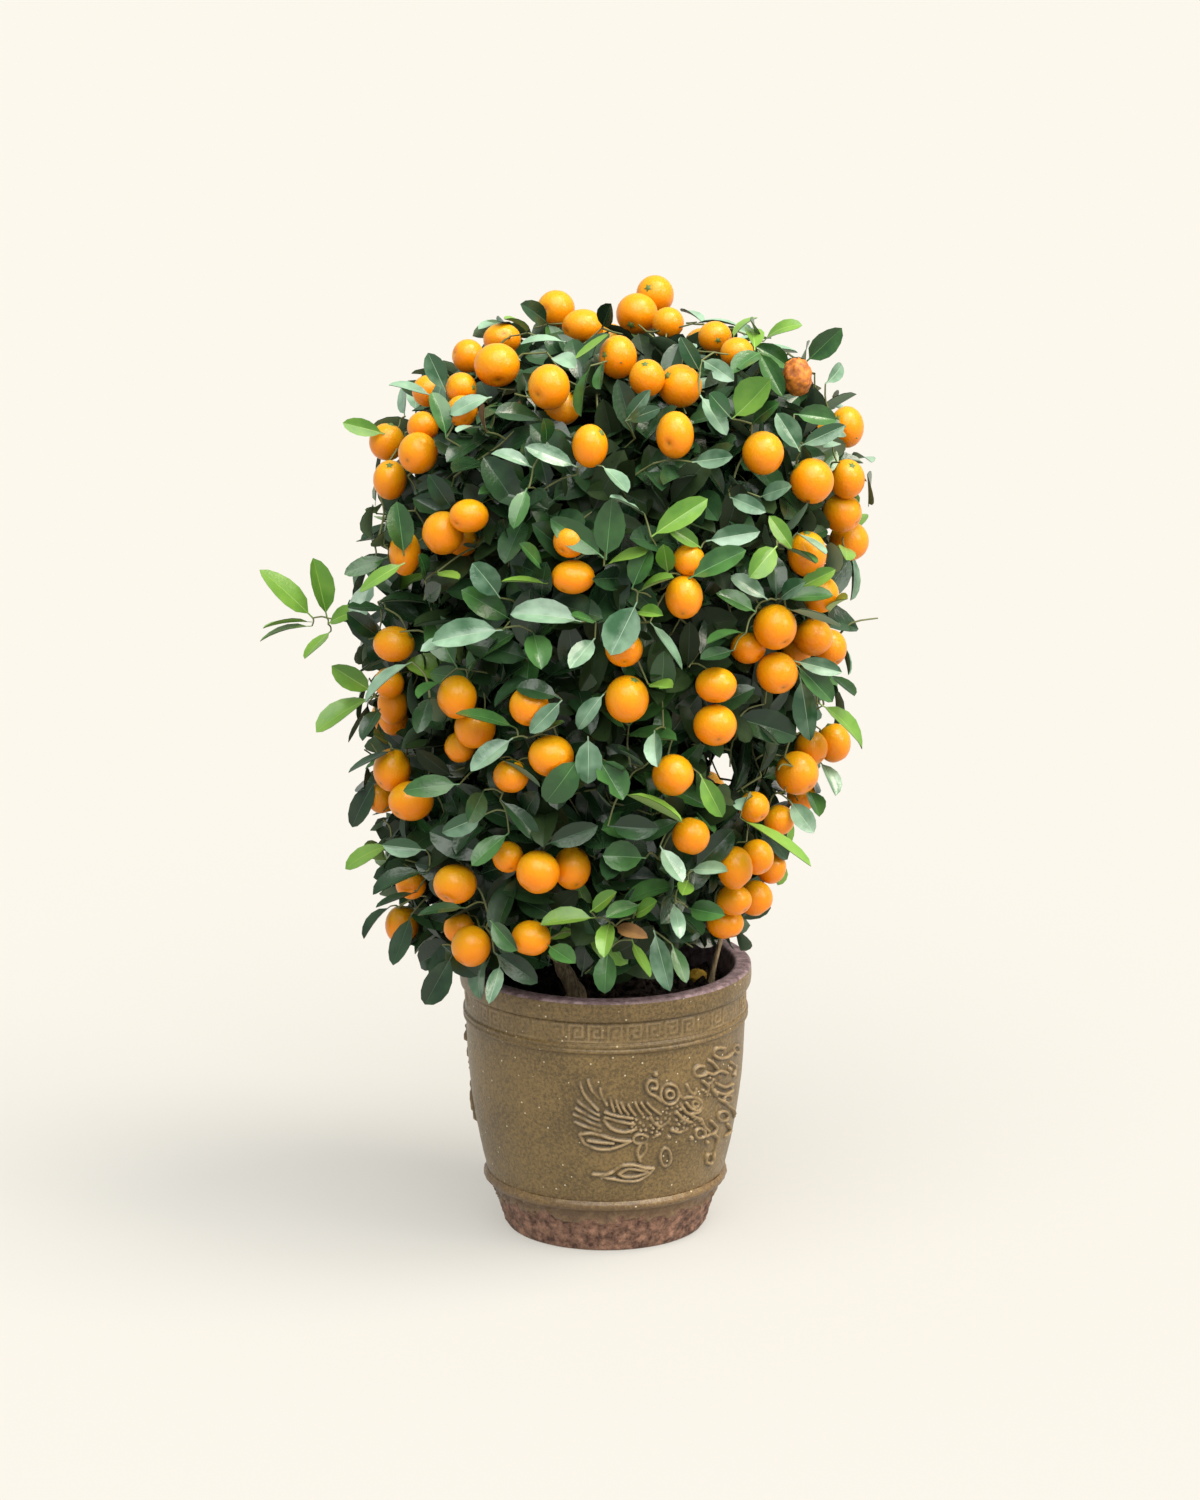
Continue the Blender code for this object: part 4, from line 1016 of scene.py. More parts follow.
dice = random.Random(CHIP_SEED)
chip_ball, chip_corners = ball(CHIP_COLUMNS, CHIP_ROWS)
for _ in range(CHIPS):
    reach = SOIL_RADIUS * CHIP_REACH * math.sqrt(dice.random())
    bearing = dice.uniform(0.0, 2.0 * math.pi)
    size = dice.uniform(*CHIP_SIZES)
    stretch = np.array([dice.uniform(*limits) for limits in CHIP_STRETCH]) * size
    dents = 1.0 + np.array([dice.uniform(-CHIP_DENT, CHIP_DENT) for _ in range(len(chip_ball))])[:, None]
    chip = (chip_ball * dents * stretch) @ turn_matrix(dice)
    chip += (reach * math.cos(bearing), reach * math.sin(bearing), SOIL_TOP + size * CHIP_LIFT)
    soil_heap.add_quads(chip, chip_corners)
add_piece("soil_surface", soil_heap.mesh("soil_surface"), [soil_mix], ["soil"])

# %% [markdown]
# ## The limbs, by the plant's own rule
#
# The trunk leans from its foot, three leaders rise from it through the middle of the crown, and a
# bough leaves a leader for each mass of foliage. The rule below is the one that shaped the solids,
# so the bark fits them. A tube along each line would be too smooth, and bark on stems this thin is
# no more than fine ridges that run along them, so each tube's points are pushed by noise that is
# stretched along the limb.

# %% Sizes of the crown and its limbs
# The rings of masses: name, height, distance from the axis, first bearing in degrees, upward lean.
# The leaders: name, bearing in degrees, the height at which it leaves the trunk, and its top
GAP = 0.0003
CROWN_FOOT = 0.195
CROWN_WAIST = 0.590
CROWN_TOP = 0.757
CROWN_RADIUS = 0.202
CROWN_FOOT_RADIUS = 0.124
FOOT_CURVE = 2.4
DOME_CURVE = 2.8
AXIS_FOOT = -0.030
AXIS_SLOPE = 0.090
SKIRT = 0.238
RINGS = (
    ("low", 0.295, 0.116, 0.0, -0.05),
    ("middle", 0.425, 0.126, 30.0, 0.05),
    ("high", 0.565, 0.126, 0.0, 0.25),
)
TOP_MASS_HEIGHT = 0.680
SIDES = (
    ("right", "back_right", "back_left", "left", "front_left", "front_right"),
    ("right_back", "back", "left_back", "left_front", "front", "right_front"),
)
TRUNK_PLACES = (
    (-0.024, -0.030, SOIL_TOP + GAP),
    (-0.024, -0.030, SOIL_TOP + 0.005),
    (-0.030, -0.030, 0.217),
    (-0.037, -0.028, 0.234),
    (-0.031, -0.018, 0.262),
    (-0.024, -0.010, 0.290),
)
TRUNK_RADII = (0.0095, 0.0080, 0.0068, 0.0063, 0.0058, 0.0054)
SIDE_STEM_PLACES = (
    (0.0875, 0.010, SOIL_TOP + GAP),
    (0.0875, 0.010, SOIL_TOP + 0.004),
    (0.0900, 0.010, 0.218),
    (0.0950, 0.010, 0.240),
    (0.0980, 0.009, 0.262),
)
SIDE_STEM_RADII = (0.0034, 0.0027, 0.0023, 0.0020, 0.0018)
LEADERS = (
    ("leader_left", 210.0, None, 0.565),
    ("leader_right", 330.0, 0.268, 0.580),
    ("leader_back", 94.0, 0.248, 0.635),
)
LEADER_OFFSET = 0.031
LEADER_BASE_RADIUS = 0.0048
LEADER_TIP_RADIUS = 0.0028
LEADER_STEPS = 6
LEADER_SETTLING = 2.5
LEADER_FIRST_RUN = 0.012
FORK_RUN = 0.016
FORK_RISE = 1.1
BOUGH_REACH = 0.078
BOUGH_BASE_RADIUS = 0.0030
BOUGH_SHARE = 0.8
BOUGH_TIP_RADIUS = 0.0019
BOUGH_TIP_DROP = 0.012
BOUGH_DROP = 0.034
BOUGH_SAG = 0.004
BOUGH_SPACING = 0.018
LEADER_BIAS = 12.0
MASS_TURN = 60.0
print("the crown is", 2.0 * CROWN_RADIUS, "m across and reaches", CROWN_TOP, "m up")


# %% Limbs and masses
class Limb:
    """A tapering limb along a line of places, with a radius at each."""

    def __init__(self, name, places, radii):
        self.name = name
        self.places = [Vector(place) for place in places]
        self.radii = list(radii)

    def at_height(self, height):
        """The place on the limb's middle line at a height."""
        for low, high in zip(self.places, self.places[1:]):
            if low.z <= height <= high.z:
                return low.lerp(high, (height - low.z) / (high.z - low.z))
        return self.places[-1].copy()

    def radius_at(self, height):
        """The limb's radius at a height."""
        spans = zip(self.places, self.places[1:], self.radii, self.radii[1:])
        for low, high, low_radius, high_radius in spans:
            if low.z <= height <= high.z:
                return low_radius + (high_radius - low_radius) * (height - low.z) / (high.z - low.z)
        return self.radii[-1]

    def end_direction(self):
        """The direction in which the limb's tip points."""
        return (self.places[-1] - self.places[-2]).normalized()


@dataclass(eq=False)
class Mass:
    """One mass of foliage: the middle of its space, the way it faces and the limb that carries it."""

    name: str
    centre: Vector
    outward: Vector
    carrier: Limb = None


# %% Grow the limbs
def heading(bearing):
    """A level unit vector: 0 degrees is +X and 90 degrees is +Y."""
    turn = math.radians(bearing)
    return Vector((math.cos(turn), math.sin(turn), 0.0))


def taper(base_radius, tip_radius, count):
    """Radii that narrow evenly from base to tip."""
    return [base_radius + (tip_radius - base_radius) * index / (count - 1) for index in range(count)]


def crown_axis(height):
    """The crown's middle line, which leans a little from the left of the pot to the right."""
    return Vector((AXIS_FOOT + AXIS_SLOPE * (height - CROWN_FOOT), 0.0, height))


def make_masses():
    """The nineteen masses of the crown."""
    masses = []
    for ring, (level, height, distance, first, lift) in enumerate(RINGS):
        for index, side in enumerate(SIDES[ring % 2]):
            outward = heading(first + MASS_TURN * index)
            centre = crown_axis(height) + outward * distance
            masses.append(Mass(f"{level}_{side}", centre, (outward + Vector((0.0, 0.0, lift))).normalized()))
    masses.append(Mass("top", crown_axis(TOP_MASS_HEIGHT), Vector((0.0, 0.0, 1.0))))
    return masses


def make_leaders(trunk):
    """The three leaders: one goes on from the trunk's tip, and two leave its side."""
    leaders = []
    for name, bearing, leaving, top in LEADERS:
        if leaving is None:
            start = trunk.places[-1] + trunk.end_direction() * GAP
            first = start + trunk.end_direction() * LEADER_FIRST_RUN
        else:
            start = trunk.at_height(leaving)
            first = start + (heading(bearing) + Vector((0.0, 0.0, FORK_RISE))) * FORK_RUN
        span = top - first.z
        places = [start, first]
        for step in range(1, LEADER_STEPS + 1):
            height = first.z + span * step / LEADER_STEPS
            rest = crown_axis(height) + heading(bearing) * LEADER_OFFSET
            drift = Vector((first.x, first.y, height))
            places.append(drift.lerp(rest, min(1.0, step / LEADER_SETTLING)))
        leaders.append(Limb(name, places, taper(LEADER_BASE_RADIUS, LEADER_TIP_RADIUS, len(places))))
    return leaders


def make_boughs(masses, leaders, side_stem):
    """One bough for each mass, from the nearest leader; two masses sit on limbs' own tips."""
    boughs = []
    used = {}
    for mass in masses:
        if mass.name in ("low_right", "top"):
            mass.carrier = side_stem if mass.name == "low_right" else leaders[2]
            continue
        bearing = math.degrees(math.atan2(mass.outward.y, mass.outward.x))
        apart = [wrapped(math.radians(bearing - entry[1] - LEADER_BIAS)) for entry in LEADERS]
        leader = min(zip(apart, leaders), key=lambda pair: abs(pair[0]))[1]
        ring = mass.name.split("_")[0]
        turn = used.get((leader.name, ring), 0)
        used[(leader.name, ring)] = turn + 1
        level = Vector((mass.outward.x, mass.outward.y, 0.0)).normalized()
        tip = crown_axis(mass.centre.z - BOUGH_TIP_DROP) + level * BOUGH_REACH
        lowest = max(tip.z - BOUGH_DROP, leader.places[1].z + BOUGH_SPACING * 0.5)
        height = lowest + BOUGH_SPACING * turn
        start = leader.at_height(height)
        base_radius = min(BOUGH_BASE_RADIUS, leader.radius_at(height) * BOUGH_SHARE)
        bend = start.lerp(tip, 0.5) - Vector((0.0, 0.0, BOUGH_SAG))
        mass.carrier = Limb(f"bough_{mass.name}", [start, bend, tip], taper(base_radius, BOUGH_TIP_RADIUS, 3))
        boughs.append(mass.carrier)
    return boughs


trunk = Limb("trunk", TRUNK_PLACES, TRUNK_RADII)
side_stem = Limb("stem_right", SIDE_STEM_PLACES, SIDE_STEM_RADII)
leaders = make_leaders(trunk)
masses = make_masses()
boughs = make_boughs(masses, leaders, side_stem)
limbs = [trunk, side_stem] + leaders + boughs
print(len(limbs), "limbs carry", len(masses), "masses of foliage")

# %% Bark
# Young citrus bark is thin and smooth: grey brown, with pale streaks that run along the stem
BARK_COLOURS = ("#6E5E46", "#D0B88E")
STREAK_MM = 2.2
BARK_LIMITS = (0.36, 0.66)

bark = two_tone(
    "citrus_bark", {"Roughness": 0.75, "IOR": 1.45}, BARK_COLOURS, STREAK_MM,
    {"Detail": 5.0, "Roughness": 0.7}, BARK_LIMITS, {"Strength": 0.8, "Distance": 0.0008}, (1.0, 1.0, 0.22),
)

# %% Tubes with ridges
def tube_points(line, radii, columns):
    """The points of a tube, ring by ring, with each ring turned as little as can be from the last."""
    points = []
    side = None
    for index, place in enumerate(line):
        along = (line[min(index + 1, len(line) - 1)] - line[max(index - 1, 0)]).normalized()
        if side is None:
            side = along.orthogonal()
        side = (side - along * side.dot(along)).normalized()
        other = along.cross(side)
        for column in range(columns):
            turn = 2.0 * math.pi * column / columns
            points.append(place + (side * math.cos(turn) + other * math.sin(turn)) * radii[index])
    return np.array([tuple(point) for point in points])


# Thick limbs get more columns; the ridges are noise drawn out along the limb
BARK_RIDGE = 0.11
RIDGE_SIZE, RIDGE_SEED = 0.0030, 8
RIDGE_DRAW = (1.0, 1.0, 0.3)
LIMB_STEPS = 8
THICK_LIMB = 0.004
THICK_COLUMNS, THIN_COLUMNS = 20, 10

limb_heap = Heap()
for limb in limbs:
    line = smooth_line(limb.places, LIMB_STEPS)
    radii = np.interp(np.linspace(0, len(limb.radii) - 1, len(line)), range(len(limb.radii)), limb.radii)
    columns = THICK_COLUMNS if limb.radii[0] > THICK_LIMB else THIN_COLUMNS
    points = tube_points(line, radii, columns)
    middles = np.repeat(np.array([tuple(place) for place in line]), columns, axis=0)
    ridges = unevenness(points * RIDGE_DRAW, RIDGE_SIZE, RIDGE_SEED)
    points = middles + (points - middles) * (1.0 + BARK_RIDGE * ridges)[:, None]
    limb_heap.add_quads(points, grid_corners(len(line), columns, True))
add_piece("limbs_with_bark", limb_heap.mesh("limbs_with_bark"), [bark], [limb.name for limb in limbs])

# %% [markdown]
# ## The space of the crown
#
# The crown is clipped to an upright barrel with a domed top. One number says how far out a place
# lies: 0 on the crown's axis and 1 on its outer surface. Shoots, leaves and fruit are all placed by
# that number, so the outline stays the clipped one from every side.

# %% How far out a place lies
OUTWARD_STEP = 0.004


def crown_radius(height):
    """The crown's radius at a height: a barrel that narrows downward, under a round dome."""
    if height > CROWN_WAIST:
        rise = (height - CROWN_WAIST) / (CROWN_TOP - CROWN_WAIST)
        return CROWN_RADIUS * max(0.0, 1.0 - rise**DOME_CURVE) ** (1.0 / DOME_CURVE)
    fall = min(1.0, (CROWN_WAIST - height) / (CROWN_WAIST - CROWN_FOOT))
    return CROWN_RADIUS - (CROWN_RADIUS - CROWN_FOOT_RADIUS) * fall**FOOT_CURVE


def crown_level(point):
    """How far out a point lies in the crown: 1 is the crown's outer surface."""
    spread = (point - crown_axis(point.z)).length
    if point.z <= CROWN_WAIST:
        return spread / crown_radius(point.z)
    rise = (point.z - CROWN_WAIST) / (CROWN_TOP - CROWN_WAIST)
    return (rise**DOME_CURVE + (spread / CROWN_RADIUS) ** DOME_CURVE) ** (1.0 / DOME_CURVE)


def crown_outward(point):
    """The direction straight out of the crown at a point."""
    base = crown_level(point)
    steps = Matrix.Identity(3) * OUTWARD_STEP
    return Vector([crown_level(point + step) - base for step in steps]).normalized()


side_place = crown_axis(CROWN_WAIST) + Vector((CROWN_RADIUS, 0.0, 0.0))
print("the level of a place on the crown's side is", round(crown_level(side_place), 2))

# %% Places spread over the crown
SURFACE_STEPS = 60
SURFACE_DRIFT = 0.008
GOLDEN_TURN = math.pi * (3.0 - math.sqrt(5.0))


def surface_places(count, dice):
    """Places spread evenly over the crown's outer surface, each turned on by the golden angle."""
    step = (CROWN_TOP - SKIRT) / SURFACE_STEPS
    heights = [SKIRT + step * index for index in range(SURFACE_STEPS + 1)]
    areas = [0.0]
    for low, high in zip(heights, heights[1:]):
        slope = math.hypot(step, crown_radius(high) - crown_radius(low))
        areas.append(areas[-1] + slope * (crown_radius(low) + crown_radius(high)))
    places = []
    for index in range(count):
        wanted = areas[-1] * (index + 0.5) / count
        band = max(position for position, area in enumerate(areas) if area <= wanted)
        height = heights[band] + step * (wanted - areas[band]) / (areas[band + 1] - areas[band])
        height = min(max(height + dice.uniform(-SURFACE_DRIFT, SURFACE_DRIFT), SKIRT), CROWN_TOP - MM)
        out = heading(math.degrees(index * GOLDEN_TURN))
        places.append(crown_axis(height) + out * crown_radius(height))
    return places


# %% [markdown]
# ## Where the fruit hang
#
# The fruit on the front are listed one by one, because their pattern is what the eye remembers. A map
# gives each one's middle and its half-width and half-height in a picture 1200 wide and 1500 tall.
# A line of sight goes through each place, and the fruit is set where that line meets the crown. One
# that would press into a fruit set before it is pushed back until the two only touch, so of two that
# overlap the nearer comes first in the map. The back of the crown gets the same map turned half
# round, so the plant is full from every side.

# %% Set places of the picture onto the crown
NEAR_REACH, FAR_REACH = 4.00, 4.75
SIGHT_STEP = 0.003


def onto_crown(across, down, level):
    """Where the line of sight first meets a level of the crown, or passes nearest to it."""
    ray = sight(across, down)
    best = None
    for step in range(int((FAR_REACH - NEAR_REACH) / SIGHT_STEP)):
        place = VIEWPOINT + ray * (NEAR_REACH + SIGHT_STEP * step)
        found = crown_level(place)
        if found <= level:
            return place
        if best is None or found < best[0]:
            best = (found, place)
    return best[1]


# %% The map of the fruit
# Each entry: across, down, half-width, half-height; of two that overlap, the nearer comes first
FRONT_FRUIT = (
    (637, 314, 21, 21), (655, 295, 19, 20), (668, 323, 16, 16), (556, 309, 19, 19), (583, 326, 21, 17),
    (502, 339, 19, 16), (497, 365, 23, 22), (468, 356, 16, 17), (461, 388, 14, 14), (428, 391, 16, 16),
    (462, 411, 14, 11), (549, 387, 21, 23), (562, 408, 19, 18), (387, 442, 18, 19),
    (418, 453, 20, 21), (390, 480, 17, 20), (423, 427, 16, 14), (590, 446, 18, 22), (618, 357, 19, 22),
    (647, 378, 18, 19), (680, 386, 22, 22), (675, 435, 19, 24), (715, 337, 17, 16), (737, 353, 17, 15),
    (847, 427, 17, 21), (763, 453, 21, 22), (812, 481, 22, 23), (847, 479, 18, 20), (842, 513, 20, 20),
    (849, 541, 20, 20), (807, 554, 20, 23), (820, 594, 19, 19),
    (813, 637, 20, 19), (830, 648, 17, 19), (797, 650, 14, 14), (469, 516, 20, 17), (443, 533, 21, 22),
    (462, 541, 14, 15), (405, 553, 16, 23), (394, 644, 21, 18), (389, 683, 13, 14), (393, 704, 15, 21),
    (394, 720, 14, 14), (457, 697, 20, 22), (475, 728, 21, 21), (460, 747, 11, 10), (529, 706, 20, 20),
    (551, 756, 23, 21), (511, 776, 18, 17), (570, 541, 17, 17), (573, 577, 22, 17),
    (689, 560, 14, 16), (684, 597, 19, 22), (624, 649, 19, 18), (627, 699, 22, 24), (716, 685, 21, 18),
    (715, 725, 22, 21), (775, 627, 22, 23), (748, 648, 18, 16), (777, 673, 21, 21), (673, 775, 21, 21),
    (797, 773, 22, 22), (811, 748, 17, 18), (834, 743, 17, 20), (802, 796, 14, 15), (392, 770, 19, 22),
    (411, 801, 23, 20), (381, 798, 10, 11), (455, 884, 22, 20), (538, 872, 22, 22), (572, 868, 19, 22),
    (508, 857, 15, 13), (411, 884, 14, 13), (402, 925, 17, 20), (471, 946, 20, 21), (459, 928, 14, 14),
    (531, 938, 20, 18), (691, 836, 19, 19), (735, 868, 18, 22), (757, 857, 17, 18), (771, 867, 15, 17),
    (755, 898, 18, 18), (734, 900, 18, 15), (725, 923, 19, 16), (754, 807, 13, 13), (779, 820, 11, 11),
)
WRINKLED_FRUIT = (797, 377, 15, 20)
SMALL_FRUIT = 0.0125
FRUIT_RADIUS = 0.0172
FRUIT_LEVEL = 0.95
FRUIT_TOUCH = 0.97
FRUIT_PUSH = 0.002
FRUIT_PUSHES = 30
BACK_LIFT = 0.012
BACK_SPACING = 2.3
BACK_START = 0.06
print("the map holds", len(FRONT_FRUIT), "fruit of the front")


# %% Set the fruit on the crown
@dataclass(eq=False)
class Fruit:
    """One fruit: its middle, its half-width and half-height, and the side it is seen from."""

    middle: Vector
    half_width: float
    half_height: float
    facing: Vector

    def reach(self):
        """How far the fruit's skin lies from its middle, on average."""
        return (self.half_width + self.half_height) * 0.5


def touches(fruit, others):
    """Whether a fruit presses into one that is already placed."""
    for other in others:
        if (fruit.middle - other.middle).length < (fruit.reach() + other.reach()) * FRUIT_TOUCH:
            return True
    return False


def front_fruit(entry, others):
    """A fruit of the map, set on the crown and pushed back until it is free of the others."""
    across, down, half_width, half_height = entry
    middle = onto_crown(across, down, FRUIT_LEVEL)
    scale = (middle - VIEWPOINT).length / FOCAL_PIXELS
    facing = (VIEWPOINT - middle).normalized()
    wide, tall = max(half_width * scale, SMALL_FRUIT), max(half_height * scale, SMALL_FRUIT)
    fruit = Fruit(middle + facing * (tall - FRUIT_RADIUS), wide, tall, facing)
    for _ in range(FRUIT_PUSHES):
        if not touches(fruit, others):
            break
        fruit.middle -= facing * FRUIT_PUSH
    return fruit


fruits = []
for entry in FRONT_FRUIT + (WRINKLED_FRUIT,):
    fruits.append(front_fruit(entry, fruits))
wrinkled = fruits[-1]
for front in list(fruits):
    behind = crown_axis(front.middle.z) * 2.0 - front.middle
    behind.z += BACK_LIFT if front.middle.z < CROWN_WAIST else -BACK_LIFT
    apart = min((behind - other.middle).length for other in fruits)
    if behind.y > BACK_START and apart > FRUIT_RADIUS * BACK_SPACING:
        fruits.append(Fruit(behind, front.half_width, front.half_height, crown_outward(behind)))
fruit_middles = np.array([tuple(fruit.middle) for fruit in fruits])
fruit_facings = np.array([tuple(fruit.facing) for fruit in fruits])
fruit_reaches = np.array([fruit.reach() for fruit in fruits])
print(len(fruits), "fruits hang on the crown")

# %% The map of the leaves that stand out
# Each line: the leaf's root across and down, its tip across and down, its width, and its kind
# Leaves of the pale kind carry a painted sheen of the sky over the whole blade
FRONT_LEAVES = (
    (385, 434, 343, 422, 18, "new"), (446, 392, 428, 353, 22, "pale"), (432, 396, 391, 378, 14, "pale"),
    (446, 438, 441, 388, 16, "mid"), (492, 397, 447, 406, 13, "pale"), (548, 324, 530, 304, 22, "old"),
    (508, 331, 507, 307, 16, "old"), (528, 333, 513, 311, 12, "new"), (566, 342, 521, 334, 13, "pale"),
    (552, 358, 571, 348, 14, "pale"), (570, 362, 611, 338, 16, "new"), (533, 468, 494, 446, 15, "pale"),
    (577, 467, 527, 444, 20, "pale"), (527, 488, 513, 521, 20, "mid"), (404, 556, 398, 502, 27, "mid"),
    (388, 557, 344, 573, 19, "mid"), (405, 563, 355, 586, 19, "new"), (486, 432, 480, 407, 12, "dry"),
    (545, 445, 552, 425, 14, "mid"), (482, 428, 458, 424, 14, "pale"), (602, 328, 610, 305, 20, "old"),
    (313, 618, 263, 567, 21, "new"), (327, 618, 314, 558, 19, "new"), (312, 626, 257, 626, 15, "new"),
    (312, 622, 262, 617, 6, "new"), (331, 631, 303, 653, 14, "new"), (328, 624, 349, 607, 20, "new"),
    (385, 608, 348, 607, 10, "old"), (378, 602, 421, 624, 26, "old"), (378, 636, 353, 618, 20, "old"),
    (503, 630, 431, 636, 32, "pale"), (476, 638, 419, 644, 12, "pale"), (500, 598, 477, 564, 28, "pale"),
    (548, 584, 502, 577, 14, "new"), (582, 622, 512, 604, 23, "pale"), (533, 632, 542, 663, 28, "mid"),
    (412, 662, 355, 688, 18, "pale"), (373, 692, 331, 666, 24, "new"), (373, 697, 311, 722, 16, "new"),
    (380, 709, 363, 729, 13, "old"), (516, 728, 459, 703, 20, "mid"), (513, 738, 470, 770, 25, "pale"),
    (430, 698, 416, 729, 20, "old"), (393, 750, 346, 767, 12, "old"), (388, 742, 376, 734, 14, "mid"),
    (562, 700, 530, 733, 20, "pale"), (441, 682, 418, 694, 14, "mid"), (425, 580, 428, 557, 14, "mid"),
    (437, 572, 457, 576, 18, "new"), (424, 600, 440, 585, 20, "old"), (544, 572, 525, 542, 20, "mid"),
    (604, 558, 553, 514, 28, "mid"), (606, 560, 612, 498, 32, "mid"), (604, 566, 647, 547, 12, "new"),
    (632, 589, 647, 548, 26, "mid"), (638, 592, 671, 574, 14, "new"), (637, 602, 611, 656, 38, "pale"),
    (668, 574, 664, 543, 20, "new"), (688, 579, 745, 549, 28, "mid"), (706, 541, 760, 530, 22, "pale"),
    (651, 537, 706, 497, 26, "new"), (701, 548, 672, 526, 16, "new"), (777, 546, 752, 572, 26, "new"),
    (776, 600, 778, 551, 24, "old"), (768, 600, 733, 572, 20, "pale"), (794, 552, 771, 516, 18, "new"),
    (780, 599, 798, 580, 14, "pale"), (795, 590, 835, 569, 18, "new"), (785, 599, 833, 594, 13, "mid"),
    (786, 608, 841, 630, 12, "pale"), (829, 612, 842, 594, 14, "new"), (756, 612, 719, 590, 22, "mid"),
    (746, 633, 707, 628, 10, "mid"), (734, 650, 700, 660, 18, "old"), (650, 622, 688, 665, 14, "pale"),
    (637, 612, 659, 611, 16, "new"), (596, 622, 573, 614, 16, "mid"), (595, 638, 570, 668, 22, "pale"),
    (648, 684, 673, 690, 12, "new"), (604, 694, 575, 726, 20, "pale"), (588, 736, 590, 784, 28, "pale"),
    (579, 757, 547, 806, 34, "mid"), (598, 757, 623, 800, 32, "mid"), (622, 792, 682, 823, 18, "new"),
    (655, 730, 652, 761, 14, "pale"), (700, 774, 723, 817, 22, "new"), (752, 796, 735, 800, 14, "pale"),
    (740, 818, 813, 863, 13, "new"), (790, 801, 813, 831, 22, "pale"), (808, 790, 822, 812, 14, "mid"),
    (820, 762, 841, 787, 12, "pale"), (820, 704, 877, 735, 22, "new"), (796, 664, 834, 701, 24, "mid"),
    (800, 676, 812, 741, 26, "pale"), (795, 661, 842, 672, 18, "pale"), (830, 674, 855, 694, 12, "old"),
    (822, 690, 841, 697, 16, "old"), (754, 342, 759, 317, 13, "mid"), (764, 341, 790, 310, 13, "new"),
    (771, 338, 735, 341, 12, "pale"), (806, 362, 842, 328, 25, "mid"), (762, 352, 735, 363, 26, "mid"),
    (750, 344, 791, 362, 20, "mid"), (758, 350, 783, 396, 20, "mid"), (732, 419, 775, 382, 38, "new"),
    (732, 419, 706, 391, 22, "pale"), (800, 452, 779, 412, 24, "pale"), (800, 446, 845, 425, 18, "pale"),
    (794, 414, 838, 417, 22, "mid"), (692, 462, 735, 457, 20, "pale"), (602, 466, 629, 489, 14, "pale"),
    (625, 421, 648, 394, 16, "pale"), (625, 421, 658, 409, 16, "pale"), (644, 513, 612, 494, 14, "pale"),
    (760, 497, 786, 486, 20, "pale"), (730, 497, 758, 508, 18, "pale"), (700, 372, 684, 343, 18, "pale"),
    (702, 360, 728, 374, 20, "pale"), (700, 395, 728, 434, 16, "pale"), (752, 424, 770, 404, 18, "mid"),
    (376, 780, 347, 826, 22, "old"), (460, 784, 402, 788, 25, "mid"), (391, 845, 340, 857, 16, "new"),
    (426, 850, 382, 845, 20, "pale"), (426, 872, 368, 880, 18, "old"), (416, 892, 375, 905, 12, "old"),
    (391, 906, 356, 931, 8, "old"), (411, 915, 394, 966, 24, "old"), (466, 908, 416, 904, 18, "old"),
    (452, 955, 425, 1005, 28, "old"), (442, 945, 478, 975, 26, "old"), (484, 815, 442, 833, 22, "pale"),
    (509, 833, 470, 863, 24, "mid"), (484, 790, 470, 820, 24, "old"), (500, 800, 543, 836, 20, "old"),
    (490, 920, 516, 950, 22, "mid"), (494, 952, 538, 982, 24, "old"), (500, 965, 492, 997, 16, "pale"),
    (596, 918, 540, 918, 16, "new"), (548, 945, 576, 966, 22, "mid"), (608, 950, 603, 991, 24, "mid"),
    (545, 845, 598, 826, 24, "old"), (646, 858, 603, 855, 32, "mid"), (660, 846, 682, 883, 24, "pale"),
    (690, 870, 724, 867, 20, "pale"), (680, 886, 621, 890, 18, "mid"), (688, 880, 682, 896, 18, "new"),
    (641, 904, 606, 918, 22, "mid"), (634, 916, 658, 902, 14, "new"), (674, 904, 681, 929, 16, "pale"),
    (688, 908, 717, 914, 22, "mid"), (632, 940, 648, 979, 12, "new"), (654, 930, 670, 991, 24, "pale"),
    (672, 944, 687, 981, 16, "mid"), (610, 922, 601, 946, 14, "new"), (590, 912, 616, 892, 18, "new"),
    (615, 926, 640, 934, 16, "dry"), (608, 826, 660, 830, 26, "old"), (680, 820, 640, 836, 20, "old"),
    (560, 698, 517, 681, 24, "old"), (528, 738, 565, 723, 15, "mid"), (500, 758, 542, 784, 14, "old"),
    (797, 533, 828, 549, 15, "pale"), (789, 549, 816, 563, 12, "mid"),
)
print("the map holds", len(FRONT_LEAVES), "leaves of the front")

# %% Set the leaves of the map on the crown
# No leaf is shorter than this, so one that looks shorter points at the viewer, and all do so a little
LEAF_ROOT_LEVEL = 0.96
SHORTEST_LEAF = 0.034
LEAF_TOWARD = 0.12
BLADE_MIDDLE = 0.55


@dataclass(eq=False)
class MapLeaf:
    """A leaf of the map: its root and tip, its width, its kind, and the side it is seen from."""

    root: Vector
    tip: Vector
    width: float
    kind: str
    facing: Vector

    def middle(self):
        """A place in the middle of the blade."""
        return self.root.lerp(self.tip, BLADE_MIDDLE)


def front_leaf(entry):
    """A leaf of the map on the front, with its tip as far toward the viewer as its length asks for."""
    root_across, root_down, tip_across, tip_down, width, kind = entry
    root = onto_crown(root_across, root_down, LEAF_ROOT_LEVEL)
    reach = (root - VIEWPOINT).length
    tip = VIEWPOINT + sight(tip_across, tip_down) * reach
    flat = (tip - root).length
    facing = (VIEWPOINT - root).normalized()
    toward = math.sqrt(max(SHORTEST_LEAF**2 - flat**2, 0.0)) + flat * LEAF_TOWARD
    return MapLeaf(root, tip + facing * toward, width * reach / FOCAL_PIXELS, kind, facing)


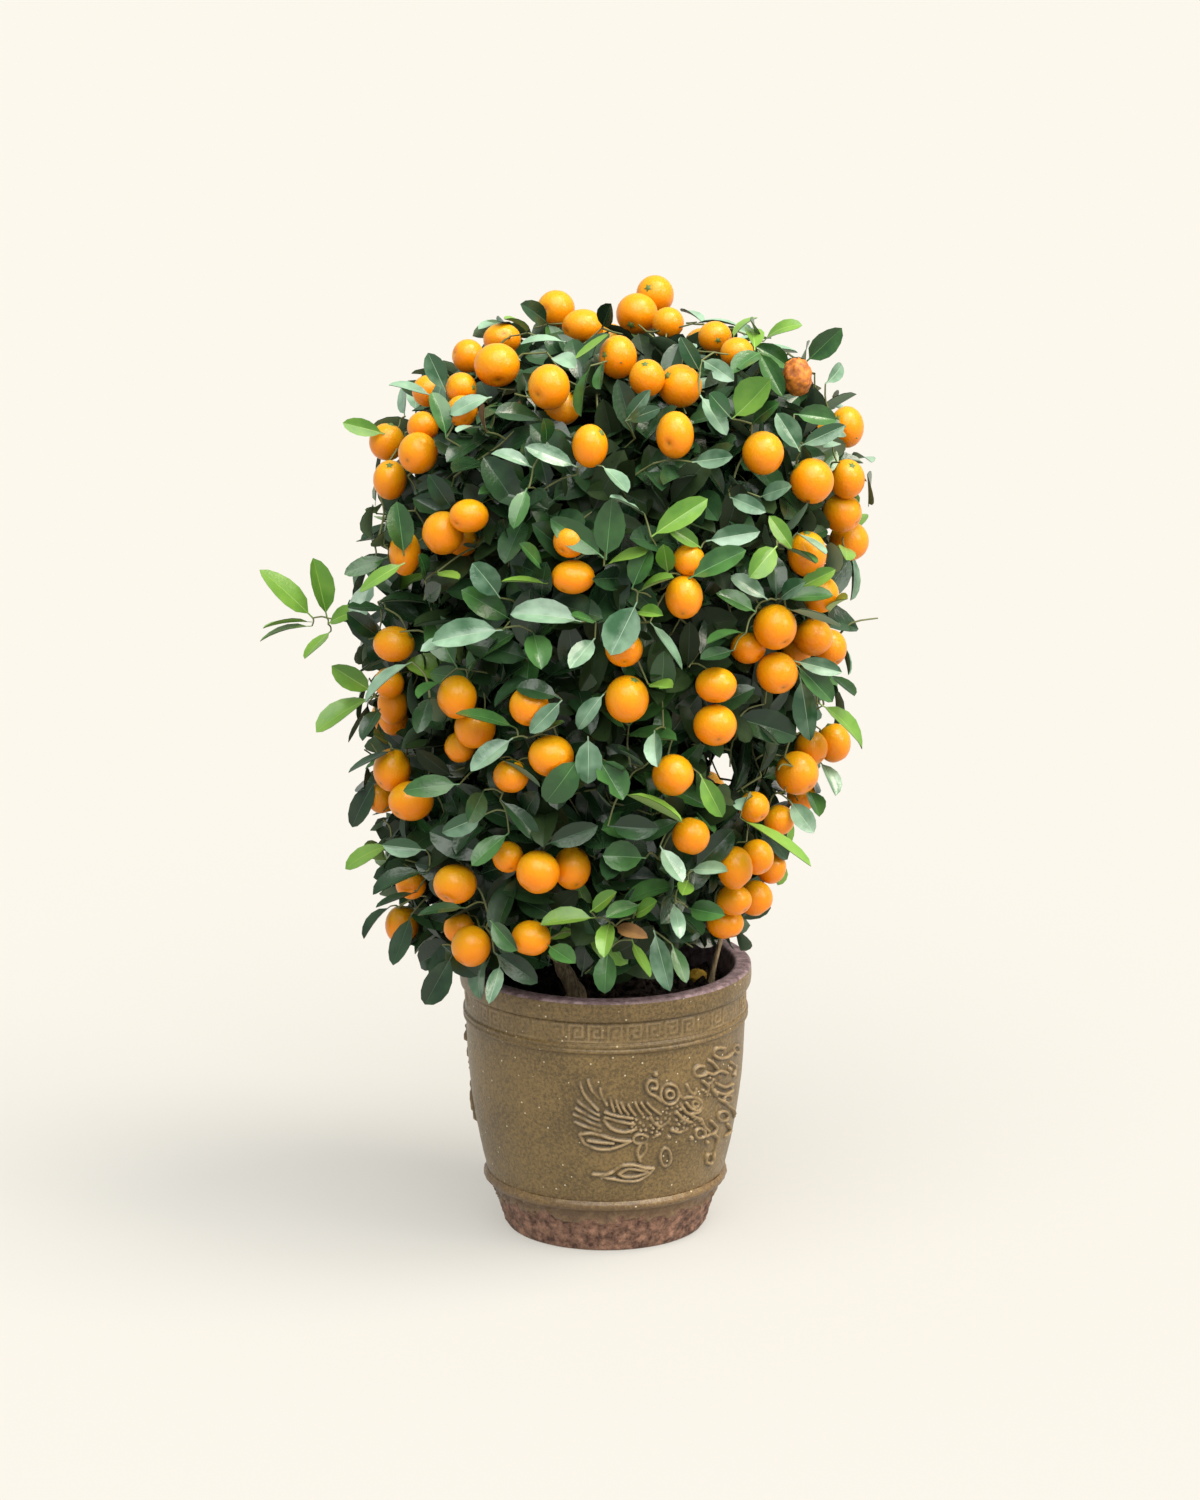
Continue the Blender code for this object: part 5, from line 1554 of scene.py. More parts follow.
def turned_leaf(leaf, degrees):
    """The same leaf carried round the crown's middle line."""
    turn = Matrix.Rotation(math.radians(degrees), 3, "Z")
    root = crown_axis(leaf.root.z) + turn @ (leaf.root - crown_axis(leaf.root.z))
    return MapLeaf(root, root + turn @ (leaf.tip - leaf.root), leaf.width, leaf.kind, turn @ leaf.facing)


# The back gets the map turned half round, and each side the middle of it turned a quarter. The
# sprig that sticks out at the left stays alone
SPRIG_LEVEL = 1.18
SIDE_HALF = 0.105
HALF_ROUND, QUARTER_ROUND = 180.0, 90.0

front_leaves = [front_leaf(entry) for entry in FRONT_LEAVES]
map_leaves = list(front_leaves)
for leaf in front_leaves:
    if crown_level(leaf.tip) < SPRIG_LEVEL:
        map_leaves.append(turned_leaf(leaf, HALF_ROUND))
        if abs(leaf.root.x - crown_axis(leaf.root.z).x) < SIDE_HALF:
            map_leaves += [turned_leaf(leaf, QUARTER_ROUND), turned_leaf(leaf, -QUARTER_ROUND)]
print(len(map_leaves), "leaves of the map, all round")

# %% [markdown]
# ## Twigs
#
# In each mass a stem goes on from its bough, and every shoot and every fruit joins the nearest twig
# that is already there. Ends are joined in order of their distance from the mass's middle, so twigs
# fork outward as real ones do. It needs no plan of the tree, and no twig hangs in the air.

# %% What the twigs reach
# Each kind of shoot: how many, the seed, and the levels of the crown between which it starts
OUTER_SHOOTS = 540, 7, (0.70, 0.88)
INNER_SHOOTS = 220, 8, (0.42, 0.68)
LEAVES_ON_SHOOT = (5, 8)
# Of these kinds, pale leaves carry a painted sheen and inner ones a painted shade
OUTER_TINTS = {"old": 62, "mid": 8, "new": 1, "pale": 1, "inner": 28}
SHOOT_SWAY = 0.45
SHOOT_OUTWARD, SHOOT_UPWARD = 0.8, 0.5
STALK_UPWARD, STALK_INWARD = 0.55, 0.75


@dataclass(eq=False)
class End:
    """What a twig reaches: a place, the way it points there, its kind, and the shoot's leaves."""

    kind: str
    place: Vector
    direction: Vector
    count: int = 0
    tint: str = ""


def owner(point):
    """The mass whose middle is nearest to a point."""
    return min(masses, key=lambda mass: (mass.centre - point).length_squared)


def shoot_ends(count, seed, levels, weights):
    """Ends of shoots spread over the crown, which grow outward and upward."""
    dice = random.Random(seed)
    ends = []
    for place in surface_places(count, dice):
        outward = crown_outward(place)
        middle = crown_axis(min(place.z, CROWN_WAIST))
        spot = middle.lerp(place, dice.uniform(*levels))
        sway = Vector([dice.uniform(-1, 1) for _ in range(3)]) * SHOOT_SWAY
        direction = (outward * SHOOT_OUTWARD + Vector((0.0, 0.0, SHOOT_UPWARD)) + sway).normalized()
        # Inner shoots take the inner kind, painted dark as in shade
        tint = dice.choices(list(weights), weights.values())[0] if weights else "inner"
        ends.append(End("shoot", spot, direction, dice.randint(*LEAVES_ON_SHOOT), tint))
    return ends


def all_ends():
    """Shoots, the stalks of the fruit, and the roots of the leaves that stand out."""
    ends = shoot_ends(*OUTER_SHOOTS, OUTER_TINTS) + shoot_ends(*INNER_SHOOTS, None)
    for fruit in fruits:
        outward = crown_outward(fruit.middle)
        stalk = fruit.middle + (Vector((0.0, 0.0, STALK_UPWARD)) - outward * STALK_INWARD) * fruit.reach()
        ends.append(End("fruit", stalk, outward))
    ends += [End("leaf", leaf.root, crown_outward(leaf.root)) for leaf in map_leaves]
    return ends


ends = all_ends()
print(len(ends), "twig ends")

# %% Grow the twigs
# A mass's stem and its twigs taper from the first radius to the second; a longer twig is thicker
TWIG_COLUMNS = 5
SHORTEST_TWIG = 0.004
STEM_RADII = (0.0019, 0.0013)
STEM_RUN = 0.012
STEM_STEPS, TWIG_STEPS = 4, 3
TWIG_BASE, TWIG_TIP = 0.0007, 0.00065
TWIG_WIDENING = 0.010
TWIG_RISE, TWIG_HOLLOW = 0.10, 0.12


def add_twig(heap, line, base_radius, tip_radius):
    """One tapering twig along a line."""
    points = tube_points(line, taper(base_radius, tip_radius, len(line)), TWIG_COLUMNS)
    heap.add_quads(points, grid_corners(len(line), TWIG_COLUMNS, True))


def grow_twigs(heap, ends):
    """Join every end to the twigs of its mass, nearest ends first."""
    knots = {}
    for mass in masses:
        start = mass.carrier.places[-1]
        line = smooth_line([start, start + mass.carrier.end_direction() * STEM_RUN, mass.centre], STEM_STEPS)
        knots[mass.name] = list(line)
        add_twig(heap, line, *STEM_RADII)
    for end in sorted(ends, key=lambda end: (owner(end.place).centre - end.place).length):
        known = knots[owner(end.place).name]
        near = min(known, key=lambda knot: (knot - end.place).length_squared)
        gap = (end.place - near).length
        if gap < SHORTEST_TWIG:
            continue
        rise = Vector((0.0, 0.0, gap * TWIG_RISE))
        bend = near.lerp(end.place, 0.5) + rise - end.direction * gap * TWIG_HOLLOW
        line = smooth_line([near, bend, end.place], TWIG_STEPS)
        known += line[1:]
        add_twig(heap, line, min(STEM_RADII[1], TWIG_BASE + gap * TWIG_WIDENING), TWIG_TIP)


twig_heap = Heap()
grow_twigs(twig_heap, ends)
print("the twigs have", twig_heap.count, "points")

# %% [markdown]
# ## Leaves
#
# A citrus leaf is a stiff blade about twice as long as it is wide, folded a little along its midrib
# and bent back along its length. A picture of a leaf on a flat card would have a hard edge and no
# thickness, and a finely modelled leaf some thousands of times over would be too heavy. So one
# template gives a leaf few faces but its true outline: an upper sheet with a narrow strip for the
# midrib, and an underside four tenths of a millimetre below. Every leaf then gets its own length,
# fold, bend and twist, and a few are bitten.

# %% The template of a leaf
# The stations are shares of the leaf's length, from the foot of its stalk to its tip
STATIONS = np.array([0.0, 0.10, 0.24, 0.42, 0.60, 0.78, 0.92, 1.0])
ROWS = len(STATIONS)
COLUMNS_TOP, COLUMNS_UNDER = 6, 3
PETIOLE_SHARE = 0.10
PETIOLE_HALF = 0.0006
PETIOLE_TAPER = 1.15
BLADE_FULLNESS = 0.58
RIB_HALF = 0.00036
RIB_TAPER = 1.2
RIB_LIMIT = 0.4
UNDER_SHARE = 0.985
LEAF_DEPTH = 0.0004
KEEL_SHARE = 0.08
BITTEN_SHARE = 0.45
NEARLY_STRAIGHT = 1e-3


def half_widths(stations, width, blunt):
    """Half the leaf's width at each station: a narrow stalk, then the blade."""
    along = np.clip((stations - PETIOLE_SHARE) / (1.0 - PETIOLE_SHARE), 0.0, 1.0)
    blade = np.sin(math.pi * along**blunt).clip(0.0) ** BLADE_FULLNESS * width * 0.5
    return np.maximum(blade, PETIOLE_HALF * (PETIOLE_TAPER - stations))


def midline(length, bend):
    """How far the leaf's middle line runs on and falls at each station, along an arc."""
    turn = STATIONS * bend
    if abs(bend) > NEARLY_STRAIGHT:
        return length * (np.sin(turn) / bend), -length * ((1.0 - np.cos(turn)) / bend)
    return length * STATIONS, 0.0 * STATIONS


def leaf_points(length, width, bend, fold, twist, blunt, bite):
    """The points of one leaf, root at the origin and tip along +X, with +Z its upper side."""
    half = half_widths(STATIONS, width, blunt)
    rib = np.minimum(half * RIB_LIMIT, RIB_HALF * (RIB_TAPER - STATIONS))
    sides = np.stack([-half, -(half + rib) * 0.5, -rib, rib, (half + rib) * 0.5, half], axis=1)
    if bite:
        sides[bite[0], bite[1]:bite[1] + 1] *= BITTEN_SHARE
    under = np.stack([sides[:, 0] * UNDER_SHARE, np.zeros(ROWS), sides[:, -1] * UNDER_SHARE], axis=1)
    # A twisted underside needs a deeper keel, or its wide faces would come through the upper sheet
    keel = max(LEAF_DEPTH, KEEL_SHARE * abs(twist) * width - LEAF_DEPTH)
    turn, spin = (STATIONS * bend)[:, None], (STATIONS * twist)[:, None]
    run, fall = midline(length, bend)
    sheets = []
    for across, drop in ((sides, 0.0), (under, np.array([LEAF_DEPTH, keel, LEAF_DEPTH]))):
        lift = np.abs(across) * math.tan(fold) - drop
        y = across * np.cos(spin) - lift * np.sin(spin)
        z = across * np.sin(spin) + lift * np.cos(spin)
        x = run[:, None] + z * np.sin(turn)
        z = fall[:, None] + z * np.cos(turn)
        sheets.append(np.stack([x, y, z], axis=-1).reshape(-1, 3))
    return np.concatenate(sheets)


# %% The faces of a leaf
# Materials: 0 is the blade, 1 the midrib's strip and 2 the underside
top_corners = grid_corners(ROWS, COLUMNS_TOP, False).reshape(-1, 4)[:, ::-1]
under_corners = grid_corners(ROWS, COLUMNS_UNDER, False).reshape(-1, 4) + ROWS * COLUMNS_TOP
LEAF_CORNERS = np.concatenate([top_corners, under_corners]).reshape(-1)
LEAF_SLOTS = np.concatenate([np.tile([0, 0, 1, 0, 0], ROWS - 1), np.full(len(under_corners), 2)])
print("one leaf has", 2 * len(LEAF_SLOTS), "triangles")

# %% [markdown]
# ## The finish of a leaf
#
# A waxy skin gives the upper side a smooth shine that the veins break, and what faces up is painted
# paler, a painted sheen. Old leaves are dark green, new ones yellow green, and a dry one is brown. Some
# are painted pale all over, a painted sheen of the sky, and those deep inside are painted dark and dull,
# a painted shade. The midrib and the underside are plain and duller. One loop makes the three materials
# of each kind, because the kinds differ in colour and shine alone.

# %% Leaf materials
# Each kind: the blade's own colour and its paler colour of painted sheen, the midrib, the underside,
# and the blade's roughness and gloss.
# Real veins are finer, and are drawn this coarse so that they still break the shine
LEAF_KINDS = {
    "old": ("#152D1A", "#2E4D2C", "#345036", "#5D755B", 0.24, 0.55),
    "mid": ("#244A22", "#47723A", "#507C46", "#6B8360", 0.25, 0.60),
    "new": ("#4F7C2A", "#739A3E", "#8AA954", "#839F59", 0.30, 0.50),
    # The pale kind is a painted sheen: the sky's reflection painted into the blade's colour
    "pale": ("#2D5436", "#88A88D", "#85A081", "#7D9177", 0.23, 0.65),
    "dry": ("#5D4025", "#87653B", "#755935", "#886C4A", 0.65, 0.30),
    # The inner kind is painted shade: dark leaves where the inside of the crown lies in shade
    "inner": ("#1A2812", "#2B3E20", "#1A3021", "#324734", 0.40, 0.24),
}
BLADE_PATCH_MM = 17.0
VEIN_MM = 2.6
# What faces up is painted paler, a painted sheen, and a noise adds random drift to it
SHEEN_SHARE = 0.55
SHEEN_FROM, SHEEN_TO = 0.45, 1.10

leaf_materials = {}
for tint, (dark, sheen_colour, rib_colour, under_colour, roughness, gloss) in LEAF_KINDS.items():
    blade, tree, shader = new_material(
        f"citrus_leaf_{tint}", {"Roughness": roughness, "IOR": 1.45, "Specular IOR Level": gloss}
    )
    coordinates = add_node(tree, "ShaderNodeTexCoord")
    place = coordinates.outputs["Object"]
    facing = add_node(tree, "ShaderNodeSeparateXYZ", {0: coordinates.outputs["Normal"]})
    drift = add_node(tree, "ShaderNodeTexNoise", {"Vector": place, "Scale": 1.0 / (BLADE_PATCH_MM * MM)})
    # Painted sheen: the blade takes its paler colour where it faces up, plus random drift
    sheen_and_drift = add_node(
        tree, "ShaderNodeMath", {0: facing.outputs["Z"], 1: SHEEN_SHARE, 2: drift.outputs["Fac"]},
        operation="MULTIPLY_ADD",
    )
    share = add_node(
        tree, "ShaderNodeMapRange", {"Value": sheen_and_drift.outputs[0], "From Min": SHEEN_FROM, "From Max": SHEEN_TO}
    )
    colour = add_node(
        tree, "ShaderNodeMix",
        {MIX_SHARE: share.outputs[0], MIX_FIRST: linear(dark), MIX_SECOND: linear(sheen_colour)}, data_type="RGBA",
    )
    tree.links.new(colour.outputs[MIX_RESULT], shader.inputs["Base Color"])
    veins = add_node(
        tree, "ShaderNodeTexNoise", {"Vector": place, "Scale": 1.0 / (VEIN_MM * MM), "Detail": 3.0}
    )
    bump = add_node(
        tree, "ShaderNodeBump", {"Height": veins.outputs["Fac"], "Strength": 0.40, "Distance": 0.0005}
    )
    tree.links.new(bump.outputs["Normal"], shader.inputs["Normal"])
    rib, _, _ = new_material(f"leaf_midrib_{tint}", {"Base Color": linear(rib_colour), "Roughness": 0.45})
    under, _, _ = new_material(
        f"leaf_underside_{tint}", {"Base Color": linear(under_colour), "Roughness": 0.6}
    )
    leaf_materials[tint] = [blade, rib, under]
print(len(leaf_materials), "kinds of leaf, with", 3 * len(leaf_materials), "materials")

# %% [markdown]
# ## Room for the leaves
#
# A real leaf turns until it has light and room. Leaves strewn by chance alone would run through
# fruit, hide the ones that catch the eye, and blur the clipped outline. Here each leaf of a shoot is
# left out if it dips into the pot, cuts a fruit, sticks out of the crown, closes a gap, or, nearly
# always, if it covers a fruit or a leaf of the map. Testing a few points of the blade is quick, and
# that matters because thousands of leaves are tried. For the pot, all of its points are tested.

# %% What stays in sight
# Each window: a gap's middle across and down in the picture, and its radius there. Light comes
# through the first, and the others are views below the crown, of the soil and the stems
WINDOWS = ((724, 772, 13), (566, 968, 12), (588, 986, 9), (634, 986, 11), (700, 962, 13))
WINDOW_LINES = [(np.array(sight(across, down)), radius / FOCAL_PIXELS) for across, down, radius in WINDOWS]
SEEN_REACH = 0.012

seen_middles = np.concatenate([fruit_middles, np.array([tuple(leaf.middle()) for leaf in map_leaves])])
seen_facings = np.concatenate([fruit_facings, np.array([tuple(leaf.facing) for leaf in map_leaves])])
seen_reaches = np.concatenate([fruit_reaches, np.full(len(map_leaves), SEEN_REACH)])
print(len(seen_middles), "fruit and leaves are to stay in sight, and", len(WINDOWS), "gaps open")

# %% Room for a leaf
# Leaves that lie further forward than the front side keep to a tighter limit than the rest
FRUIT_MARGIN = 1.02
FRONT_LIMIT, OUTER_LIMIT = 1.02, 1.06
FRONT_SIDE = -0.05
COVER_DEPTH = 0.10
COVER_SHARE = 0.75
COVER_CHANCE = 0.92
LIP_MARGIN = 0.003
LOWEST_LEAF = 0.222


def levels_of(points):
    """How far out each of many points lies in the crown."""
    height = points[:, 2]
    spread = np.hypot(points[:, 0] - AXIS_FOOT - AXIS_SLOPE * (height - CROWN_FOOT), points[:, 1])
    fall = np.clip((CROWN_WAIST - height) / (CROWN_WAIST - CROWN_FOOT), 0.0, 1.0)
    barrel = CROWN_RADIUS - (CROWN_RADIUS - CROWN_FOOT_RADIUS) * fall**FOOT_CURVE
    rise = np.clip((height - CROWN_WAIST) / (CROWN_TOP - CROWN_WAIST), 0.0, None)
    dome = (rise**DOME_CURVE + (spread / CROWN_RADIUS) ** DOME_CURVE) ** (1.0 / DOME_CURVE)
    return np.where(height > CROWN_WAIST, dome, spread / barrel)


def cuts_fruit(points):
    """Whether a leaf passes through a fruit."""
    apart = points[:, None, :] - fruit_middles[None, :, :]
    return ((apart**2).sum(axis=-1) < (fruit_reaches * FRUIT_MARGIN) ** 2).any()


def in_the_way(points, dice):
    """Whether a leaf cuts a fruit, leaves the crown, hides what should be seen, or closes a gap."""
    if cuts_fruit(points):
        return True
    limit = FRONT_LIMIT if points[:, 1].mean() < FRONT_SIDE else OUTER_LIMIT
    if levels_of(points).max() > limit:
        return True
    apart = points[:, None, :] - seen_middles[None, :, :]
    toward = (apart * seen_facings[None, :, :]).sum(axis=-1)
    aside = np.sqrt(np.maximum((apart**2).sum(axis=-1) - toward**2, 0.0))
    covers = (toward > 0.0) & (toward < COVER_DEPTH) & (aside < seen_reaches * COVER_SHARE)
    if covers.any() and dice.random() < COVER_CHANCE:
        return True
    return closes_window(points)


def closes_window(points):
    """Whether any of the points would be seen inside a window, from the picture's viewpoint."""
    rays = points - np.array(VIEWPOINT)
    reach = np.sqrt((rays**2).sum(axis=-1))
    for ray, spread in WINDOW_LINES:
        aside = np.sqrt(np.maximum(1.0 - ((rays @ ray) / reach) ** 2, 0.0))
        if (aside < spread).any():
            return True
    return False


def over_pot(points):
    """Whether a leaf would dip into the pot's lip or the soil."""
    spread = np.hypot(points[:, 0], points[:, 1])
    near_lip = (spread < LIP_RADIUS + LIP_MARGIN) & (points[:, 2] < POT_HEIGHT + LIP_MARGIN)
    return near_lip.any() or points[:, 2].min() < LOWEST_LEAF


# %% Grow one leaf
# How leaves differ: the chance of a bite, the middle and spread of bend and twist in radians, and the
# limits of the fold in degrees and of how blunt the tip is
MAP_HABIT = {
    "bite": 0.06, "bend": (0.30, 0.28), "fold": (8.0, 32.0), "twist": (0.0, 0.30), "blunt": (0.92, 1.12),
}
SHOOT_HABIT = {
    "bite": 0.04, "bend": (0.30, 0.25), "fold": (6.0, 32.0), "twist": (0.0, 0.28), "blunt": (0.92, 1.14),
}
BITTEN_STATIONS = (3, 4)
EDGES = (0, COLUMNS_TOP - 1)
TEST_POINTS = [0, 12, 15, 18, 23, 30, 35, 39, 44]


def bite_of(habit, dice):
    """The station and the edge where a leaf is bitten, if it is."""
    if dice.random() < habit["bite"]:
        return dice.randint(*BITTEN_STATIONS), dice.choice(EDGES)
    return None


def grown_leaf(length, width, bite, habit, dice):
    """The points of one leaf, bent, folded, twisted and blunt in its own way."""
    bend = dice.gauss(*habit["bend"])
    fold = math.radians(dice.uniform(*habit["fold"]))
    twist = dice.gauss(*habit["twist"])
    return leaf_points(length, width, bend, fold, twist, dice.uniform(*habit["blunt"]), bite)


def placed(shape, root, along, upper):
    """A leaf's points turned so that it grows along one direction with its upper side facing another."""
    side = upper.cross(along).normalized()
    axes = np.array([tuple(along), tuple(side), tuple(along.cross(side))])
    return shape @ axes + np.array(root)


def squared(upper, along):
    """The direction nearest to one that is square to another."""
    return (upper - along * upper.dot(along)).normalized()


# %% Set the leaves of the map
# A leaf that looks too narrow is seen from its side, so it gets its true width and is rolled
MAP_SEED = 31
NARROW_LEAF = 0.34
TRUE_WIDTH = 0.44
ROLL_SHARE = 0.85
LEAN_ASIDE, LEAN_UP = 0.35, 0.8
PUSH_STEP = 0.003
PUSHES = 16


def add_map_leaf(heaps, leaf, dice):
    """One leaf of the map, brought outward until it is clear of the fruit."""
    along = (leaf.tip - leaf.root).normalized()
    length = (leaf.tip - leaf.root).length
    wide = leaf.width
    aside = [dice.uniform(-LEAN_ASIDE, LEAN_ASIDE) for _ in range(2)]
    upper = squared(leaf.facing + Vector((*aside, dice.uniform(0.0, LEAN_UP))), along)
    if wide / length < NARROW_LEAF:
        roll = ROLL_SHARE * math.acos(wide / length / TRUE_WIDTH)
        wide = length * TRUE_WIDTH
        turned = [Matrix.Rotation(sign * roll, 3, along) @ upper for sign in (-1.0, 1.0)]
        upper = max(turned, key=lambda way: way.z)
    shape = grown_leaf(length, wide, bite_of(MAP_HABIT, dice), MAP_HABIT, dice)
    points = placed(shape, leaf.root, along, upper)
    for _ in range(PUSHES):
        if not cuts_fruit(points[TEST_POINTS]):
            break
        points = points + np.array(leaf.facing) * PUSH_STEP
    is_turned = leaf not in front_leaves
    if is_turned and (levels_of(points).max() > OUTER_LIMIT or cuts_fruit(points) or over_pot(points)):
        return 0
    side = "front" if leaf.root.y < 0.0 else "back"
    heaps[leaf.kind, side].add_quads(points, LEAF_CORNERS, LEAF_SLOTS)
    return 1


leaf_heaps = {(tint, side): Heap() for tint in LEAF_KINDS for side in ("front", "back")}
dice = random.Random(MAP_SEED)
print(sum(add_map_leaf(leaf_heaps, leaf, dice) for leaf in map_leaves), "of the map's leaves have room")

# %% Set the leaves on the shoots
# The leaves of a shoot spread from its tip downward by these angles in degrees
SHOOT_SEED = 21
SPREADS = (26.0, 40.0, 52.0, 62.0, 70.0, 76.0, 80.0, 83.0)
SPREAD_SWAY = 9.0
SHOOT_SPACING = 0.0055
LEAF_LENGTH = 0.051
LEAF_LENGTHS = (0.72, 1.15)
LEAF_WIDTHS = (0.40, 0.50)
# A leaf's upper side faces partly where its shoot turns it and partly to the light, and sways a little
OWN_PART, LIGHT_PART, CHANCE_PART = 0.8, 0.7, 0.25
LIGHT_OUTWARD, LIGHT_UP = 0.8, 0.6


def add_shoot(heaps, end, dice):
    """A rosette of leaves along the end of a shoot, each turned on by the golden angle."""
    made = 0
    side = end.direction.orthogonal().normalized()
    turn = dice.uniform(0.0, 2.0 * math.pi)
    light = (crown_outward(end.place) * LIGHT_OUTWARD + Vector((0.0, 0.0, LIGHT_UP))).normalized()
    heap = heaps[end.tint, "front" if end.place.y < 0.0 else "back"]
    for index in range(end.count):
        turn += GOLDEN_TURN
        spread = math.radians(SPREADS[index] + dice.uniform(-SPREAD_SWAY, SPREAD_SWAY))
        radial = Matrix.Rotation(turn, 3, end.direction) @ side
        along = (end.direction * math.cos(spread) + radial * math.sin(spread)).normalized()
        own = (end.direction * math.sin(spread) - radial * math.cos(spread)).normalized()
        chance = Vector([dice.uniform(-CHANCE_PART, CHANCE_PART) for _ in range(3)])
        upper = squared(own * OWN_PART + light * LIGHT_PART + chance, along)
        length = LEAF_LENGTH * dice.uniform(*LEAF_LENGTHS)
        bite = bite_of(SHOOT_HABIT, dice)
        shape = grown_leaf(length, length * dice.uniform(*LEAF_WIDTHS), bite, SHOOT_HABIT, dice)
        points = placed(shape, end.place - end.direction * (SHOOT_SPACING * index), along, upper)
        if over_pot(points) or in_the_way(points[TEST_POINTS], dice):
            continue
        heap.add_quads(points, LEAF_CORNERS, LEAF_SLOTS)
        made += 1
    return made


dice = random.Random(SHOOT_SEED)
made = sum(add_shoot(leaf_heaps, end, dice) for end in ends if end.kind == "shoot")
print(made, "leaves on shoots")

# %% Twigs and leaves as pieces
TWIG_BARK = "#636A3E"
twig_skin, _, _ = new_material("green_twig", {"Base Color": linear(TWIG_BARK), "Roughness": 0.6})
foliage_nodes = [f"foliage_{mass.name}" for mass in masses]
add_piece("twigs", twig_heap.mesh("twigs"), [twig_skin], foliage_nodes)
for (tint, side), heap in leaf_heaps.items():
    if heap.count:
        name = f"leaves_{tint}_{side}"
        add_piece(name, heap.mesh(name), leaf_materials[tint])

# %% [markdown]
# ## Fruit
#
# A calamondin is a small, nearly round citrus: thin-skinned, finely pitted, with a shallow dimple at
# the far end and a little green star where it hangs. Its peel is painted yellower where it faces up,
# as lit, and deeper orange below, as in shade: painted light and shade. Each fruit is one ball whose
# radius follows a rule from pole to pole, and each differs a little in size and length.

# %% Peel
# Thin peel lets light in by about a centimetre, red deepest, and that gives the glow at its edges. The
# colour drifts from fruit to fruit as well. Pores are drawn coarser than real ones, so that they show
# The underside is painted deeper orange as in shade, and the top yellower as lit
PEEL_PAINTED_SHADE = "#E68504"
PEEL_PAINTED_LIGHT = "#CF950B"
PEEL_SCAR = "#8A5A10"
PEEL_DRIFT_MM = 45.45
PAINTED_LIGHT_FROM, PAINTED_LIGHT_TO = 0.05, 1.40
PORE_MM = 1.7

peel, tree, shader = new_material(
    "ripe_citrus_peel",
    {"Roughness": 0.30, "IOR": 1.45, "Specular IOR Level": 0.38, "Subsurface Weight": 0.45,
     "Subsurface Radius": (1.0, 0.45, 0.08), "Subsurface Scale": 0.010},
)
coordinates = add_node(tree, "ShaderNodeTexCoord")
place = coordinates.outputs["Object"]
facing = add_node(tree, "ShaderNodeSeparateXYZ", {0: coordinates.outputs["Normal"]})
drift = add_node(tree, "ShaderNodeTexNoise", {"Vector": place, "Scale": 1.0 / (PEEL_DRIFT_MM * MM)})
# Painted light and shade: yellower where the peel faces up, with random drift from fruit to fruit
lit_share_and_drift = add_node(tree, "ShaderNodeMath", {0: facing.outputs["Z"], 1: drift.outputs["Fac"]}, operation="ADD")
share = add_node(
    tree, "ShaderNodeMapRange", {"Value": lit_share_and_drift.outputs[0], "From Min": PAINTED_LIGHT_FROM, "From Max": PAINTED_LIGHT_TO},
    interpolation_type="SMOOTHSTEP",
)
colour = add_node(
    tree, "ShaderNodeMix",
    {MIX_SHARE: share.outputs[0], MIX_FIRST: linear(PEEL_PAINTED_SHADE), MIX_SECOND: linear(PEEL_PAINTED_LIGHT)},
    data_type="RGBA",
)
scar = add_node(tree, "ShaderNodeAttribute", attribute_name="scar")
scarred = add_node(
    tree, "ShaderNodeMix",
    {MIX_SHARE: scar.outputs["Fac"], MIX_FIRST: colour.outputs[MIX_RESULT], MIX_SECOND: linear(PEEL_SCAR)},
    data_type="RGBA",
)
tree.links.new(scarred.outputs[MIX_RESULT], shader.inputs["Base Color"])
pores = add_node(tree, "ShaderNodeTexVoronoi", {"Vector": place, "Scale": 1.0 / (PORE_MM * MM)})
bump = add_node(
    tree, "ShaderNodeBump", {"Height": pores.outputs["Distance"], "Strength": 0.30, "Distance": 0.0005}
)
tree.links.new(bump.outputs["Normal"], shader.inputs["Normal"])
print("the peel's pores are", PORE_MM, "mm apart")

# %% The ball and the scar of a fruit
# The rows of points stand closer toward both ends, where the dimples are. The polar angle starts at
# the far end, where a lost flower left a small brown scar
FRUIT_COLUMNS, FRUIT_ROWS = 26, 17
POLE_CROWDING = 0.40
SCAR_SPREAD = 0.10
SCAR_DEPTH = 0.75

fruit_ball, fruit_corners = ball(FRUIT_COLUMNS, FRUIT_ROWS)
even = np.arccos(np.clip(fruit_ball[:, 2], -1.0, 1.0))
polar = even - POLE_CROWDING * 0.5 * np.sin(2.0 * even)
drawn_in = np.sin(polar) / np.maximum(np.sin(even), TINY)
fruit_ball = np.stack([fruit_ball[:, 0] * drawn_in, fruit_ball[:, 1] * drawn_in, np.cos(polar)], axis=1)
scar_depths = SCAR_DEPTH * np.exp(-((polar / SCAR_SPREAD) ** 2))
print("a fruit has", len(fruit_ball), "points")

# %% The star that a fruit hangs by
# A five-pointed calyx: corners far out and near in by turns, and a raised middle, in shares of the fruit
CALYX_COLOUR = "#516C2D"
STAR_CORNERS = 10
STAR_FAR, STAR_NEAR = 0.25, 0.12
STAR_RIM, STAR_HEART = -0.94, -1.06

